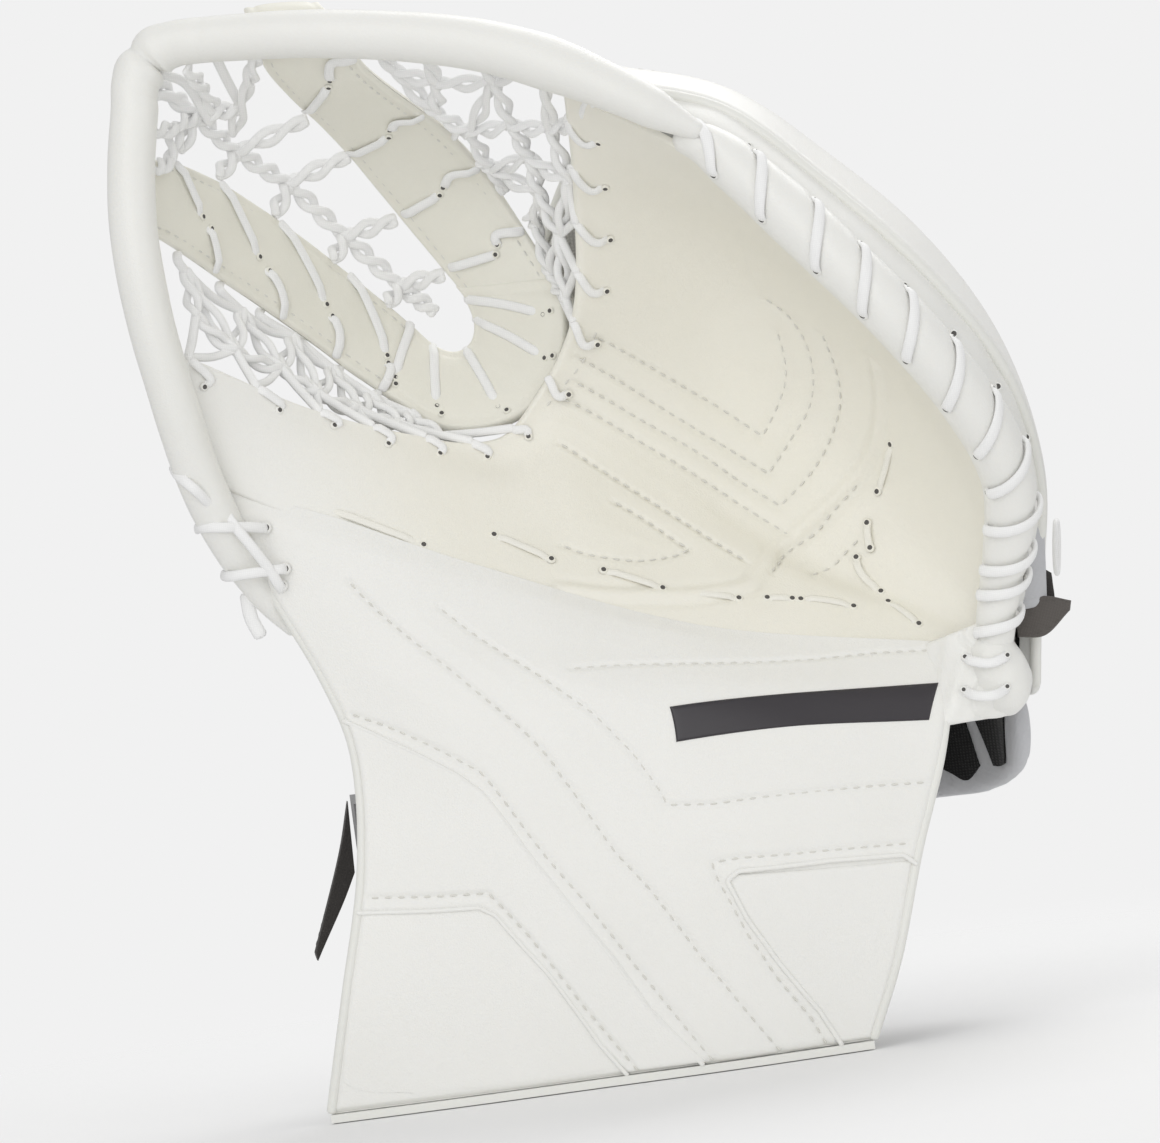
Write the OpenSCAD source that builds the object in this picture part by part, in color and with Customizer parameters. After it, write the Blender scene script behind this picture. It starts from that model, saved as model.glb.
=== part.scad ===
// Ice hockey goalie catch glove for the left hand, with a one-piece cuff and a laced pocket.
// Frame: the origin is the centre of the wrist opening. +Z runs from the wrist to the
// fingertips, +X from the thumb side to the little finger side, and -Y is the catching side.
// The glove stands on the straight foot of its cuff. All sizes are in millimetres.

/* [Leather and padding] */
// Thickness of the outer synthetic leather
leather_t = 1.6; // [1:0.1:2]
// Thickness of the cuff's foam board
cuff_foam_t = 6; // [4:0.5:7]
// Thickness of the palm's felt and foam
palm_foam_t = 5; // [3:0.5:6]
// Thickness of the backhand's and the thumb's foam
back_foam_t = 6; // [4:0.5:7]
// Thickness of the plastic stiffeners
plate_t = 1.8; // [1:0.1:2]
// Thickness of the inner linings
lining_t = 1; // [0.8:0.1:1.2]
// Height that a sewn-on panel stands above the cuff leather
panel_t = 1.2; // [0.8:0.1:1.5]

/* [Rim and pocket] */
// Outer radius of the thumb side of the rim roll
thumb_roll_r = 9; // [8:0.5:9.5]
// Outer radius of the top of the rim roll
top_roll_r = 8.5; // [8:0.5:9]
// Outer radius of the padded roll along the fingers
finger_roll_r = 10.5; // [9:0.5:11]
// Thickness of the two pocket bands and their junction
band_t = 5; // [3:0.5:6]
// Thickness of one skate lace
lace_t = 2.8; // [2:0.2:3]
// Number of lace wraps along the fingers
edge_wraps = 14; // [8:1:16]

/* [Straps and wrist guard] */
// Width of the wrist strap
wrist_strap_w = 36; // [25:1:38]
// Thickness of the straps
strap_t = 2.4; // [1.5:0.1:3]
// Thickness of the wrist guard's padding
guard_t = 8; // [6:0.5:9]
// Outside radius of a finger sleeve
sleeve_r = 10.5; // [9:0.5:11]

/* [Cuff] */
// Height of the wrist opening's centre above the cuff's foot
cuff_drop = 150; // [150:1:165]
// Height of the binding along the foot of the cuff
foot_binding_h = 3; // [2:0.5:4]

/* [Hidden] */
// Clearance between two layers, and between neighbouring pieces
gap = 0.3;
foot_z = -cuff_drop;
cuff_z0 = foot_z + foot_binding_h + gap;
cuff_back_t = leather_t + cuff_foam_t + plate_t + lining_t + 3 * gap;

// Colours
white = "#e9e9e2";
inner_white = "#dcd9ca";
foam_grey = "#b9b9b4";
plastic = "#c8ccd0";
lace_white = "#f2f3f4";
strap_grey = "#6e6965";
strap_black = "#3e3a38";
mesh_black = "#1e1e20";

// Cells that each stack of layers is cut into
CUFF_CELLS = [10, 12];
PALM_THUMB_CELLS = [14, 6];
PALM_FINGER_CELLS = [11, 10];
BACKHAND_CELLS = [12, 10];
THUMB_BACK_CELLS = [10, 6];

// Control nets. Each row runs along u, and the rows follow each other along v.
CUFF = [
    [[-131, -56, cuff_z0], [-80, -60, cuff_z0], [-30, -60, cuff_z0], [20, -60, cuff_z0],
        [70, -54, cuff_z0]],
    [[-120, -57, -106], [-71, -60, -109], [-19, -60, -112], [32, -60, -115], [83, -54, -118]],
    [[-108, -55, -60], [-65, -60, -65], [-14, -61, -70], [41, -60, -76], [96, -52, -80]],
    [[-105, -48, -18], [-59, -57, -25], [-8, -59, -32], [54, -57, -39], [108, -48, -50]],
    [[-113, -41, 12], [-70, -51, 6], [-16, -55, -5], [53, -53, -18], [114, -43, -30]],
    [[-129, -37, 49], [-85, -44, 34], [-28, -47, 15], [47, -45, -5], [117, -36, -17]],
    [[-142, -40, 86], [-102, -38, 70], [-50, -36, 44], [28, -34, 11], [116, -31, -7]],
];
PALM_THUMB = [
    [[-142, -39, 91], [-107, -37, 76], [-72, -35, 59], [-38, -34, 43], [-6, -33, 30],
        [28, -32, 17], [66, -31, 7], [103, -30, 1]],
    [[-143, -47, 114], [-108, -32, 97], [-71, -21, 81], [-38, -14, 70], [-8, -11, 64],
        [28, -9, 46], [66, -13, 24], [103, -24, 7]],
    [[-138, -53, 135], [-106, -27, 113], [-70, -10, 98], [-38, 0, 91], [-14, 4, 95],
        [25, 6, 72], [64, -2, 36], [103, -20, 11]],
];
PALM_FINGER = [
    [[-7, 3, 106], [27, 9, 76], [54, 6, 50], [83, -5, 26], [112, -20, 6]],
    [[5, -10, 138], [50, 12, 114], [87, 6, 78], [110, -10, 37], [122, -24, 6]],
    [[10, -31, 172], [57, -14, 150], [99, -22, 106], [124, -32, 53], [127, -28, 4]],
    [[12, -66, 198], [48, -86, 168], [90, -90, 118], [128, -62, 52], [129, -33, 2]],
];
BACKHAND = [
    [[60, -80, 197], [93, -84, 168], [126, -84, 130], [151, -72, 90], [160, -52, 50],
        [155, -28, 8], [151, -14, -26]],
    [[62, -50, 206], [95, -38, 182], [126, -32, 149], [150, -26, 108], [161, -18, 56],
        [158, -8, 15], [150, 2, -29]],
    [[54, 0, 197], [85, 12, 172], [114, 20, 139], [137, 26, 100], [149, 32, 54],
        [148, 36, 12], [142, 38, -29]],
    [[31, 40, 169], [58, 54, 146], [84, 62, 118], [104, 68, 85], [117, 72, 48],
        [118, 72, 10], [114, 70, -29]],
    [[2, 50, 138], [20, 66, 116], [40, 74, 92], [58, 80, 66], [72, 82, 38],
        [78, 82, 6], [80, 78, -29]],
];
THUMB_BACK = [
    [[-8, 36, 12], [-38, 42, 20], [-72, 42, 32], [-106, 32, 48], [-134, 8, 62], [-148, -24, 74]],
    [[-14, 44, 50], [-44, 50, 56], [-80, 48, 68], [-118, 34, 84], [-147, 4, 96],
        [-157, -30, 104]],
    [[-26, 42, 80], [-52, 44, 82], [-86, 36, 94], [-120, 16, 112], [-146, -14, 124],
        [-156, -38, 130]],
];

// Rim and roll routes
THUMB_ROLL = [[-146, -58, 246], [-152, -63, 227], [-156, -66, 205], [-158, -68, 180],
    [-158, -66, 150], [-155, -60, 121], [-150, -50, 96]];
TOP_ROLL = [[-127, -63, 249], [-110, -69, 248], [-84, -77, 245], [-52, -85, 239],
    [-23, -92, 231], [2, -97, 220], [24, -100, 207], [40, -99, 196]];
FINGER_ROLL = [[56, -96, 181], [78, -100, 156], [94, -102, 136], [109, -101, 117],
    [122, -96, 99], [133, -88, 82], [142, -78, 64], [146, -66, 46], [143, -54, 26],
    [138, -45, 7], [134, -40, -8]];

// Pocket bands: the edge towards the middle of the pocket, then the outer edge
LOWER_BAND = [
    [[-160, -48, 206], [-146, -42, 210], [-128, -16, 202], [-104, 10, 182], [-81, 26, 159],
        [-66, 30, 143]],
    [[-160, -50, 184], [-148, -44, 180], [-125, -14, 160], [-102, 6, 139], [-90, 12, 127],
        [-79, 15, 117]],
];
JUNCTION = [
    [[-63, 30, 139], [-56, 31, 131], [-49, 31, 128], [-43, 31, 131], [-41, 31, 138],
        [-43, 30, 146]],
    [[-75, 15, 113], [-59, 13, 101], [-41, 10, 99], [-23, 10, 106], [-14, 11, 122],
        [-12, 14, 140]],
];
UPPER_BAND = [
    [[-46, 29, 152], [-66, 24, 184], [-83, 0, 210], [-103, -46, 235], [-106, -58, 260]],
    [[-13, 16, 148], [-24, 14, 183], [-40, -8, 206], [-66, -50, 230], [-76, -66, 256]],
];
// Line of knots along the middle net, from the rim corner to the junction
NET_SPINE = [[-134, -30, 228], [-120, -2, 214], [-102, 16, 199], [-85, 29, 178],
    [-68, 36, 158], [-54, 37, 142]];
LOWER_NET_PALM = [[-141, -48, 143], [-118, -28, 124], [-96, -12, 112], [-72, 0, 103],
    [-48, 8, 96]];
LOWER_NET_BAND = [[-145, -40, 174], [-126, -10, 155], [-108, 6, 141], [-96, 14, 126],
    [-84, 17, 109]];
UPPER_NET_BAND = [[-52, -50, 223], [-36, -16, 203], [-20, 6, 184], [-9, 14, 162],
    [-7, 15, 142]];
UPPER_NET_PALM = [[5, -64, 206], [2, -38, 184], [0, -20, 164], [-4, -2, 140], [-10, 8, 124]];

// Strap routes: the lower edge, then the upper edge
WRIST_STRAP = [[96, -36], [96, 0], [72, 34], [30, 50], [-20, 52], [-66, 36], [-96, 4],
    [-104, -22]];
wrist_strap_z = -55;
GUARD = [[149, 1], [145, 28], [126, 48], [100, 60]];
guard_top_z = -33;
guard_foot_z = -66;

// Smooth curve through a list of points, u from 0 to 1
function spline_at(pts, u) =
    let (n = len(pts) - 1, s = max(0, min(u * n, n - 0.000001)), i = floor(s), t = s - i)
    let (p1 = pts[i], p2 = pts[i + 1])
    let (p0 = i > 0 ? pts[i - 1] : 2 * p1 - p2, p3 = i + 2 <= n ? pts[i + 2] : 2 * p2 - p1)
    0.5 * (2 * p1 + (p2 - p0) * t + (2 * p0 - 5 * p1 + 4 * p2 - p3) * t * t
        + (3 * p1 - p0 - 3 * p2 + p3) * t * t * t);
function along(pts, n) = [for (k = [0:n]) spline_at(pts, k / n)];
function unit(a) = a / norm(a);

// Smooth surface through the rows of a control net, and its outward normal
function surface_at(rows, u, v) = spline_at([for (r = rows) spline_at(r, u)], v);
function normal_at(rows, u, v) =
    let (e = 0.01)
    let (du = surface_at(rows, min(1, u + e), v) - surface_at(rows, max(0, u - e), v))
    let (dv = surface_at(rows, u, min(1, v + e)) - surface_at(rows, u, max(0, v - e)))
    unit(cross(du, dv));

// Point on a broken line of [u, v] corners
function corner_line(c, t) =
    let (n = len(c) - 1, s = min(t * n, n - 0.000001), i = floor(s))
    c[i] + (c[i + 1] - c[i]) * (s - i);

// Triangles of a closed slab: a grid of (nu + 1) x (nv + 1) points in front, and one behind
function slab_faces(nu, nv) =
    let (w = nu + 1, m = w * (nv + 1))
    concat(
        [for (j = [0:nv - 1], i = [0:nu - 1]) let (a = j * w + i)
            each [[a, a + w, a + w + 1], [a, a + w + 1, a + 1]]],
        [for (j = [0:nv - 1], i = [0:nu - 1]) let (a = m + j * w + i)
            each [[a, a + 1, a + w + 1], [a, a + w + 1, a + w]]],
        [for (i = [0:nu - 1]) each [[i, i + 1, m + i + 1], [i, m + i + 1, m + i]]],
        [for (i = [0:nu - 1]) let (a = nv * w + i)
            each [[a + 1, a, m + a], [a + 1, m + a, m + a + 1]]],
        [for (j = [0:nv - 1]) let (a = j * w + nu)
            each [[a, a + w, m + a + w], [a, m + a + w, m + a]]],
        [for (j = [0:nv - 1]) let (a = j * w)
            each [[a + w, a, m + a], [a + w, m + a, m + a + w]]]);

// Layer of a control net between depths t0 and t1 under its face, over the area of the net
// that lies between the broken lines edge_a and edge_b
module region(rows, edge_a, edge_b, nu, nv, t0, t1) {
    uv = [for (j = [0:nv], i = [0:nu]) let (a = corner_line(edge_a, j / nv))
        a + (corner_line(edge_b, j / nv) - a) * i / nu];
    face = [for (q = uv) surface_at(rows, q[0], q[1])];
    out = [for (q = uv) normal_at(rows, q[0], q[1])];
    ids = [0:len(uv) - 1];
    polyhedron(concat([for (k = ids) face[k] - out[k] * t0], [for (k = ids) face[k] - out[k] * t1]),
        slab_faces(nu, nv));
}

// Layer over a net that is cut into cells[0] x cells[1], less whole cells along its sides:
// trim is the number of cells left off at the start of u, the end of u, the start of v and
// the end of v. The layers of one stack share their cells, so they lie parallel.
module layer(rows, cells, t0, t1, trim = [0, 0, 0, 0]) {
    u0 = trim[0] / cells[0];
    u1 = 1 - trim[1] / cells[0];
    v0 = trim[2] / cells[1];
    v1 = 1 - trim[3] / cells[1];
    region(rows, [[u0, v0], [u0, v1]], [[u1, v0], [u1, v1]],
        cells[0] - trim[0] - trim[1], cells[1] - trim[2] - trim[3], t0, t1);
}

// Rings of a tube along a line of points; the sides of the rings face away from the line
function tube_points(path, radii, sides) =
    let (n = len(path) - 1)
    [for (k = [0:n])
        let (t = unit(path[min(k + 1, n)] - path[max(k - 1, 0)]))
        let (a = unit(cross(t, [0.31, 0.93, 0.17])), b = cross(t, a))
        for (i = [0:sides - 1]) let (q = 360 * i / sides)
            path[k] + radii[k] * (a * cos(q) + b * sin(q))];
function wall_faces(rings, sides, base, inward) =
    [for (k = [0:rings - 2], i = [0:sides - 1])
        let (a = base + k * sides + i, b = base + k * sides + (i + 1) % sides)
        each inward ? [[a, b + sides, a + sides], [a, b, b + sides]]
            : [[a, a + sides, b + sides], [a, b + sides, b]]];

// Solid tube with flat ends
module tube(path, radii, sides = 8) {
    rings = len(path);
    last = (rings - 1) * sides;
    polyhedron(tube_points(path, radii, sides), concat(wall_faces(rings, sides, 0, false),
        [for (i = [1:sides - 2]) [0, i, i + 1]],
        [for (i = [1:sides - 2]) [last, last + i + 1, last + i]]));
}

// Hollow tube, open at both ends
module pipe(path, outer, inner, sides = 10) {
    rings = len(path);
    m = rings * sides;
    last = (rings - 1) * sides;
    next = [for (i = [0:sides - 1]) (i + 1) % sides];
    polyhedron(concat(tube_points(path, outer, sides), tube_points(path, inner, sides)),
        concat(wall_faces(rings, sides, 0, false), wall_faces(rings, sides, m, true),
            [for (i = [0:sides - 1]) each [[i, next[i], m + next[i]], [i, m + next[i], m + i]]],
            [for (i = [0:sides - 1]) let (a = last + i, b = last + next[i])
                each [[a, m + b, b], [a, m + a, m + b]]]));
}
function same(r, n) = [for (k = [0:n]) r];

// Arc of lace over the front of a roll at one point of its route, facing the catching side
module lace_wrap(route, u, reach, sweep, lean) {
    e = 0.01;
    p = spline_at(route, u);
    t = unit(spline_at(route, min(1, u + e)) - spline_at(route, max(0, u - e)));
    a = unit(cross(t, [0, 1, 0]));
    b = unit(cross(a, t));
    steps = 6;
    path = [for (k = [0:steps]) let (q = -sweep / 2 + sweep * k / steps)
        p + reach * (a * sin(q) - b * cos(q)) + t * lean * (k / steps - 0.5)];
    tube(path, same(lace_t / 2, steps), 5);
}

// Row of laces that cross a seam, each a shallow staple in front of a net
module seam_laces(rows, spots, length_u, rise) {
    for (s = spots) {
        path = [for (k = [0:4]) let (u = s[0] + length_u * (k / 4 - 0.5))
            surface_at(rows, u, s[1]) + normal_at(rows, u, s[1]) * (lace_t / 2 + gap
                + rise * sin(180 * k / 4))];
        tube(path, same(lace_t / 2, 4), 5);
    }
}

// Cord of a net between two knots
module cord(a, b) {
    hull() {
        translate(a) sphere(lace_t / 2, $fn = 4);
        translate(b) sphere(lace_t / 2, $fn = 4);
    }
}

// Net of diamond meshes between two edge lines, hung back by sag in its middle
module net(edge_a, edge_b, cols, rows, sag) {
    function knot(i, j) =
        let (v = j / rows, u = min(1, max(0, (i + (j % 2) / 2) / cols)))
        spline_at(edge_a, u) * (1 - v) + spline_at(edge_b, u) * v + [0, sag * 4 * v * (1 - v), 0];
    for (j = [0:rows - 1], i = [0:cols]) {
        side = (j % 2 == 0) ? -1 : 1;
        if (i < cols || j % 2 == 0) cord(knot(i, j), knot(min(i, cols - (j + 1) % 2), j + 1));
        if (i + side >= 0 && i + side <= cols - (j + 1) % 2)
            cord(knot(i, j), knot(i + side, j + 1));
    }
}

// Strap standing on edge along a plan route, from z0 to z1
module plan_strap(route, z0, z1, t0, t1, nu) {
    rows = [[for (p = route) [p[0], p[1], z0]], [for (p = route) [p[0], p[1], z1]]];
    region(rows, [[0, 0], [0, 1]], [[1, 0], [1, 1]], nu, 1, t0, t1);
}

// Depths of the layers under the leather
function under(n, foam) = leather_t + gap + (n > 1 ? foam + gap : 0) + (n > 2 ? plate_t + gap : 0);

module cuff_leather() { color(white) layer(CUFF, CUFF_CELLS, 0, leather_t); }
module cuff_foam() {
    z = under(1, 0);
    color(foam_grey) layer(CUFF, CUFF_CELLS, z, z + cuff_foam_t);
}
module cuff_plate() {
    z = under(2, cuff_foam_t);
    color(plastic) layer(CUFF, CUFF_CELLS, z, z + plate_t, [1, 1, 1, 2]);
}
module cuff_lining() {
    z = under(3, cuff_foam_t);
    color(inner_white) layer(CUFF, CUFF_CELLS, z, z + lining_t);
}

// Straight strip sewn over the bottom edge: the flat foot that the glove stands on
module cuff_foot_binding() {
    front = [for (u = [0:0.1:1]) let (p = surface_at(CUFF, u, 0), n = normal_at(CUFF, u, 0))
        [p[0] + n[0] * 0.8, p[1] + n[1] * 0.8]];
    back = [for (u = [1:-0.1:0]) let (p = surface_at(CUFF, u, 0), n = normal_at(CUFF, u, 0))
        [p[0] - n[0] * cuff_back_t, p[1] - n[1] * cuff_back_t]];
    color(white) translate([0, 0, foot_z]) linear_extrude(foot_binding_h)
        polygon(concat(front, back));
}

// Piping along the two long edges of the cuff
module cuff_side_binding() {
    r = 3;
    e = 0.02;
    color(white) for (side = [0, 1]) {
        path = [for (k = [0:10]) let (v = 0.02 + 0.93 * k / 10)
            let (inward = surface_at(CUFF, side == 0 ? e : 1 - e, v) - surface_at(CUFF, side, v))
            surface_at(CUFF, side, v) - normal_at(CUFF, side, v) * (cuff_back_t / 2)
                - unit(inward) * (r + 1.6)];
        tube(path, same(r, 10), 8);
    }
}

module cuff_corner_panel() {
    color(white) region(CUFF, [[0.01, 0.01], [0.01, 0.27]], [[0.55, 0.01], [0.29, 0.24]],
        6, 5, -gap - panel_t, -gap);
}
module cuff_side_panel() {
    color(white) region(CUFF, [[0.93, 0.01], [0.65, 0.33]], [[0.99, 0.01], [0.99, 0.345]],
        4, 6, -gap - panel_t, -gap);
}
module cuff_diagonal_panel() {
    color(white) region(CUFF, [[0.68, 0.01], [0.47, 0.18], [0.19, 0.46], [0.01, 0.57]],
        [[0.83, 0.01], [0.6, 0.2], [0.36, 0.5], [0.22, 0.82]], 3, 9, -gap - panel_t, -gap);
}

// Plain dark bar on the upper right of the cuff
module cuff_badge() {
    color(strap_black) region(CUFF, [[0.57, 0.55], [0.55, 0.68]], [[0.945, 0.55], [0.955, 0.68]],
        6, 2, -gap - 1, -gap);
}

// Soft pad behind the cuff, against the inside of the wrist
module wrist_pad() {
    z = cuff_back_t + 2 * gap;
    color(inner_white) region(CUFF, [[0.25, 0.5], [0.3, 0.88]], [[0.8, 0.5], [0.84, 0.88]],
        7, 5, z, z + 6);
}

module palm_thumb_leather() {
    color(inner_white) layer(PALM_THUMB, PALM_THUMB_CELLS, 0, leather_t);
}
module palm_thumb_foam() {
    z = under(1, 0);
    color(foam_grey) layer(PALM_THUMB, PALM_THUMB_CELLS, z, z + palm_foam_t, [0, 1, 1, 0]);
}
module palm_thumb_lining() {
    z = under(2, palm_foam_t);
    color(inner_white) layer(PALM_THUMB, PALM_THUMB_CELLS, z, z + lining_t, [0, 1, 1, 0]);
}
module palm_finger_leather() {
    color(inner_white) layer(PALM_FINGER, PALM_FINGER_CELLS, 0, leather_t);
}
module palm_finger_foam() {
    z = under(1, 0);
    color(foam_grey) layer(PALM_FINGER, PALM_FINGER_CELLS, z, z + palm_foam_t, [0, 0, 0, 1]);
}
module palm_finger_plate() {
    z = under(2, palm_foam_t);
    color(plastic) layer(PALM_FINGER, PALM_FINGER_CELLS, z, z + plate_t, [1, 1, 1, 1]);
}
module palm_finger_lining() {
    z = under(3, palm_foam_t);
    color(inner_white) layer(PALM_FINGER, PALM_FINGER_CELLS, z, z + lining_t, [0, 1, 0, 1]);
}

module backhand_leather() { color(white) layer(BACKHAND, BACKHAND_CELLS, 0, leather_t); }
module backhand_foam() {
    z = under(1, 0);
    color(foam_grey) layer(BACKHAND, BACKHAND_CELLS, z, z + back_foam_t);
}
module backhand_plate() {
    z = under(2, back_foam_t);
    color(plastic) layer(BACKHAND, BACKHAND_CELLS, z, z + plate_t, [1, 1, 1, 1]);
}
module backhand_lining() {
    z = under(3, back_foam_t);
    color(inner_white) layer(BACKHAND, BACKHAND_CELLS, z, z + lining_t);
}

module thumb_back_leather() { color(white) layer(THUMB_BACK, THUMB_BACK_CELLS, 0, leather_t); }
module thumb_back_foam() {
    z = under(1, 0);
    color(foam_grey) layer(THUMB_BACK, THUMB_BACK_CELLS, z, z + back_foam_t);
}
module thumb_back_plate() {
    z = under(2, back_foam_t);
    color(plastic) layer(THUMB_BACK, THUMB_BACK_CELLS, z, z + plate_t, [1, 1, 1, 1]);
}

// Sleeves that hold the thumb and the four fingers
module sleeve(a, b, tip_r) {
    steps = 5;
    path = [for (k = [0:steps]) a + (b - a) * k / steps];
    radii = [for (k = [0:steps]) sleeve_r + (tip_r - sleeve_r) * k / steps];
    pipe(path, radii, [for (r = radii) r - lining_t], 8);
}
module thumb_sleeve() {
    color(inner_white) sleeve([-70, 12, 58], [-124, -8, 106], 9.5);
}
module finger_sleeves() {
    color(inner_white) {
        sleeve([12, 44, 76], [26, 22, 148], 9.5);
        sleeve([38, 47, 62], [58, 26, 140], 9.5);
        sleeve([60, 48, 48], [86, 24, 116], 9.5);
        sleeve([80, 46, 34], [108, 22, 84], 9);
    }
}

// Rim rolls: a leather tube with a foam core
module rolled_rim(route, steps, r) {
    pipe(along(route, steps), same(r, steps), same(r - leather_t, steps), 10);
}
module rim_core(route, steps, r) {
    tube(along(route, steps), same(r - leather_t - gap, steps), 10);
}
module thumb_roll() { color(white) rolled_rim(THUMB_ROLL, 12, thumb_roll_r); }
module thumb_roll_core() { color(foam_grey) rim_core(THUMB_ROLL, 12, thumb_roll_r); }
module top_roll() { color(white) rolled_rim(TOP_ROLL, 12, top_roll_r); }
module top_roll_core() { color(foam_grey) rim_core(TOP_ROLL, 12, top_roll_r); }
module finger_roll() { color(white) rolled_rim(FINGER_ROLL, 16, finger_roll_r); }
module finger_roll_core() { color(foam_grey) rim_core(FINGER_ROLL, 16, finger_roll_r); }

// Short padded end of the roll at the heel, tied to the corner of the cuff
module heel_roll() {
    path = along([[135, -37, -14], [137, -33, -24], [139, -26, -34]], 6);
    color(white) tube(path, [9.5, 10.5, 11, 11, 10, 8, 5], 10);
}

module band(rows, nu) { region(rows, [[0, 0], [0, 1]], [[1, 0], [1, 1]], nu, 2, -band_t, 0); }
module lower_band() { color(inner_white) band(LOWER_BAND, 9); }
module pocket_junction() { color(inner_white) band(JUNCTION, 9); }
module upper_band() { color(inner_white) band(UPPER_BAND, 8); }

// Skate-lace nets of the pocket
module net_lower() { color(lace_white) net(LOWER_NET_BAND, LOWER_NET_PALM, 5, 2, 4); }
module net_upper() { color(lace_white) net(UPPER_NET_BAND, UPPER_NET_PALM, 5, 3, 8); }
module net_middle_thumb() {
    color(lace_white) {
        for (k = [0:len(NET_SPINE) - 2]) cord(NET_SPINE[k], NET_SPINE[k + 1]);
        for (k = [0:4]) {
            edge = spline_at(LOWER_BAND[0], 0.24 + 0.17 * k);
            cord(NET_SPINE[k], edge + (NET_SPINE[k] - edge) * 0.25);
        }
    }
}
module net_middle_finger() {
    color(lace_white) for (k = [0:4]) {
        edge = spline_at(UPPER_BAND[0], 0.7 - 0.15 * k);
        knot = NET_SPINE[k] + (edge - NET_SPINE[k]) * 0.2;
        next = NET_SPINE[k + 1] + (edge - NET_SPINE[k + 1]) * 0.25;
        cord(knot, edge + (knot - edge) * 0.2);
        cord(next, edge + (knot - edge) * 0.2);
    }
}

// Lace that whips the finger roll to the palm
module edge_lace() {
    color(lace_white) for (k = [0:edge_wraps - 1])
        lace_wrap(FINGER_ROLL, 0.03 + 0.94 * k / (edge_wraps - 1),
            finger_roll_r + lace_t / 2 + 2 * gap, 190, 5);
}
module thumb_lace() {
    color(lace_white) for (u = [0.8, 0.88, 0.96])
        lace_wrap(THUMB_ROLL, u, thumb_roll_r + lace_t / 2 + gap, 170, 4);
}
module palm_seam_lace() {
    color(lace_white) seam_laces(PALM_THUMB,
        [[0.36, 0.2], [0.5, 0.16], [0.64, 0.14], [0.78, 0.14], [0.9, 0.2]], 0.07, 0.4);
}

// Hook-and-loop strap round the back of the wrist, its loop and its loose tail
module wrist_strap() {
    color(strap_black) plan_strap(WRIST_STRAP, wrist_strap_z - wrist_strap_w / 2,
        wrist_strap_z + wrist_strap_w / 2, 0, strap_t, 16);
}
module strap_loop() {
    w = wrist_strap_w + 8;
    color(strap_grey) translate([-107, -13, wrist_strap_z]) rotate([0, 0, 20]) difference() {
        cube([3, 12, w], center = true);
        cube([4, 5, wrist_strap_w + 1], center = true);
    }
}
module wrist_strap_tail() {
    rows = [[[-113, -1, -62], [-120, 0, -74], [-131, 1, -94]],
        [[-112, -5, -35], [-119, -3, -56], [-132, 0, -90]]];
    color(strap_black) region(rows, [[0, 0], [0, 1]], [[1, 0], [1, 1]], 5, 2, 0, strap_t);
}

// Grey strap over the back of the hand, its keeper and its pointed tail
module backhand_strap() {
    route = [[84, 88, 14], [106, 86, 16], [128, 76, 18], [146, 58, 19], [156, 40, 19]];
    rows = [[for (p = route) p - [0, 0, 11]], [for (p = route) p + [0, 0, 11]]];
    color(strap_grey) region(rows, [[0, 0], [0, 1]], [[1, 0], [1, 1]], 8, 1, -strap_t, 0);
}
module strap_keeper() {
    color(strap_grey) translate([167, 2, 22]) rotate([0, 0, -8]) difference() {
        cube([4, 20, 30], center = true);
        cube([5, 11, 23], center = true);
    }
}
module hand_strap_tail() {
    rows = [[[145, -31, -7], [154, -33, -8], [164, -35, 0]],
        [[146, -31, 6], [155, -33, 6], [165, -35, 3]]];
    color(strap_grey) region(rows, [[0, 0], [0, 1]], [[1, 0], [1, 1]], 4, 2, 0, strap_t);
}

// Padded guard round the outside of the wrist, with dark mesh on its inner face
module wrist_guard_pad() {
    color(strap_grey) plan_strap(GUARD, guard_foot_z, guard_top_z, 0, guard_t, 8);
}
module wrist_guard_mesh() {
    z = guard_t + gap;
    color(mesh_black) plan_strap(GUARD, guard_foot_z + 6, guard_top_z - 4, z, z + 1, 8);
}

cuff_leather();
cuff_foam();
cuff_plate();
cuff_lining();
cuff_foot_binding();
cuff_side_binding();
cuff_corner_panel();
cuff_side_panel();
cuff_diagonal_panel();
cuff_badge();
wrist_pad();
palm_thumb_leather();
palm_thumb_foam();
palm_thumb_lining();
thumb_back_leather();
thumb_back_foam();
thumb_back_plate();
thumb_sleeve();
thumb_roll();
thumb_roll_core();
lower_band();
pocket_junction();
net_lower();
net_middle_thumb();
palm_seam_lace();
thumb_lace();
wrist_strap();
strap_loop();
palm_finger_leather();
palm_finger_foam();
palm_finger_plate();
palm_finger_lining();
backhand_leather();
backhand_foam();
backhand_plate();
backhand_lining();
finger_roll();
finger_roll_core();
top_roll();
top_roll_core();
upper_band();
net_middle_finger();
net_upper();
edge_lace();
heel_roll();
finger_sleeves();
backhand_strap();
strap_keeper();
wrist_guard_pad();
wrist_guard_mesh();
wrist_strap_tail();
hand_strap_tail();
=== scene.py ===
"""Goalie catch glove: the looks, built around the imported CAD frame. The camera, the lights, the
floor, the materials and the cloth settings are in metres. The glove's shapes are in millimetres,
and Piece.make turns them into metres."""
import math
import bpy
import numpy as np
from mathutils import Matrix, Vector
from mathutils.kdtree import KDTree


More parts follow.
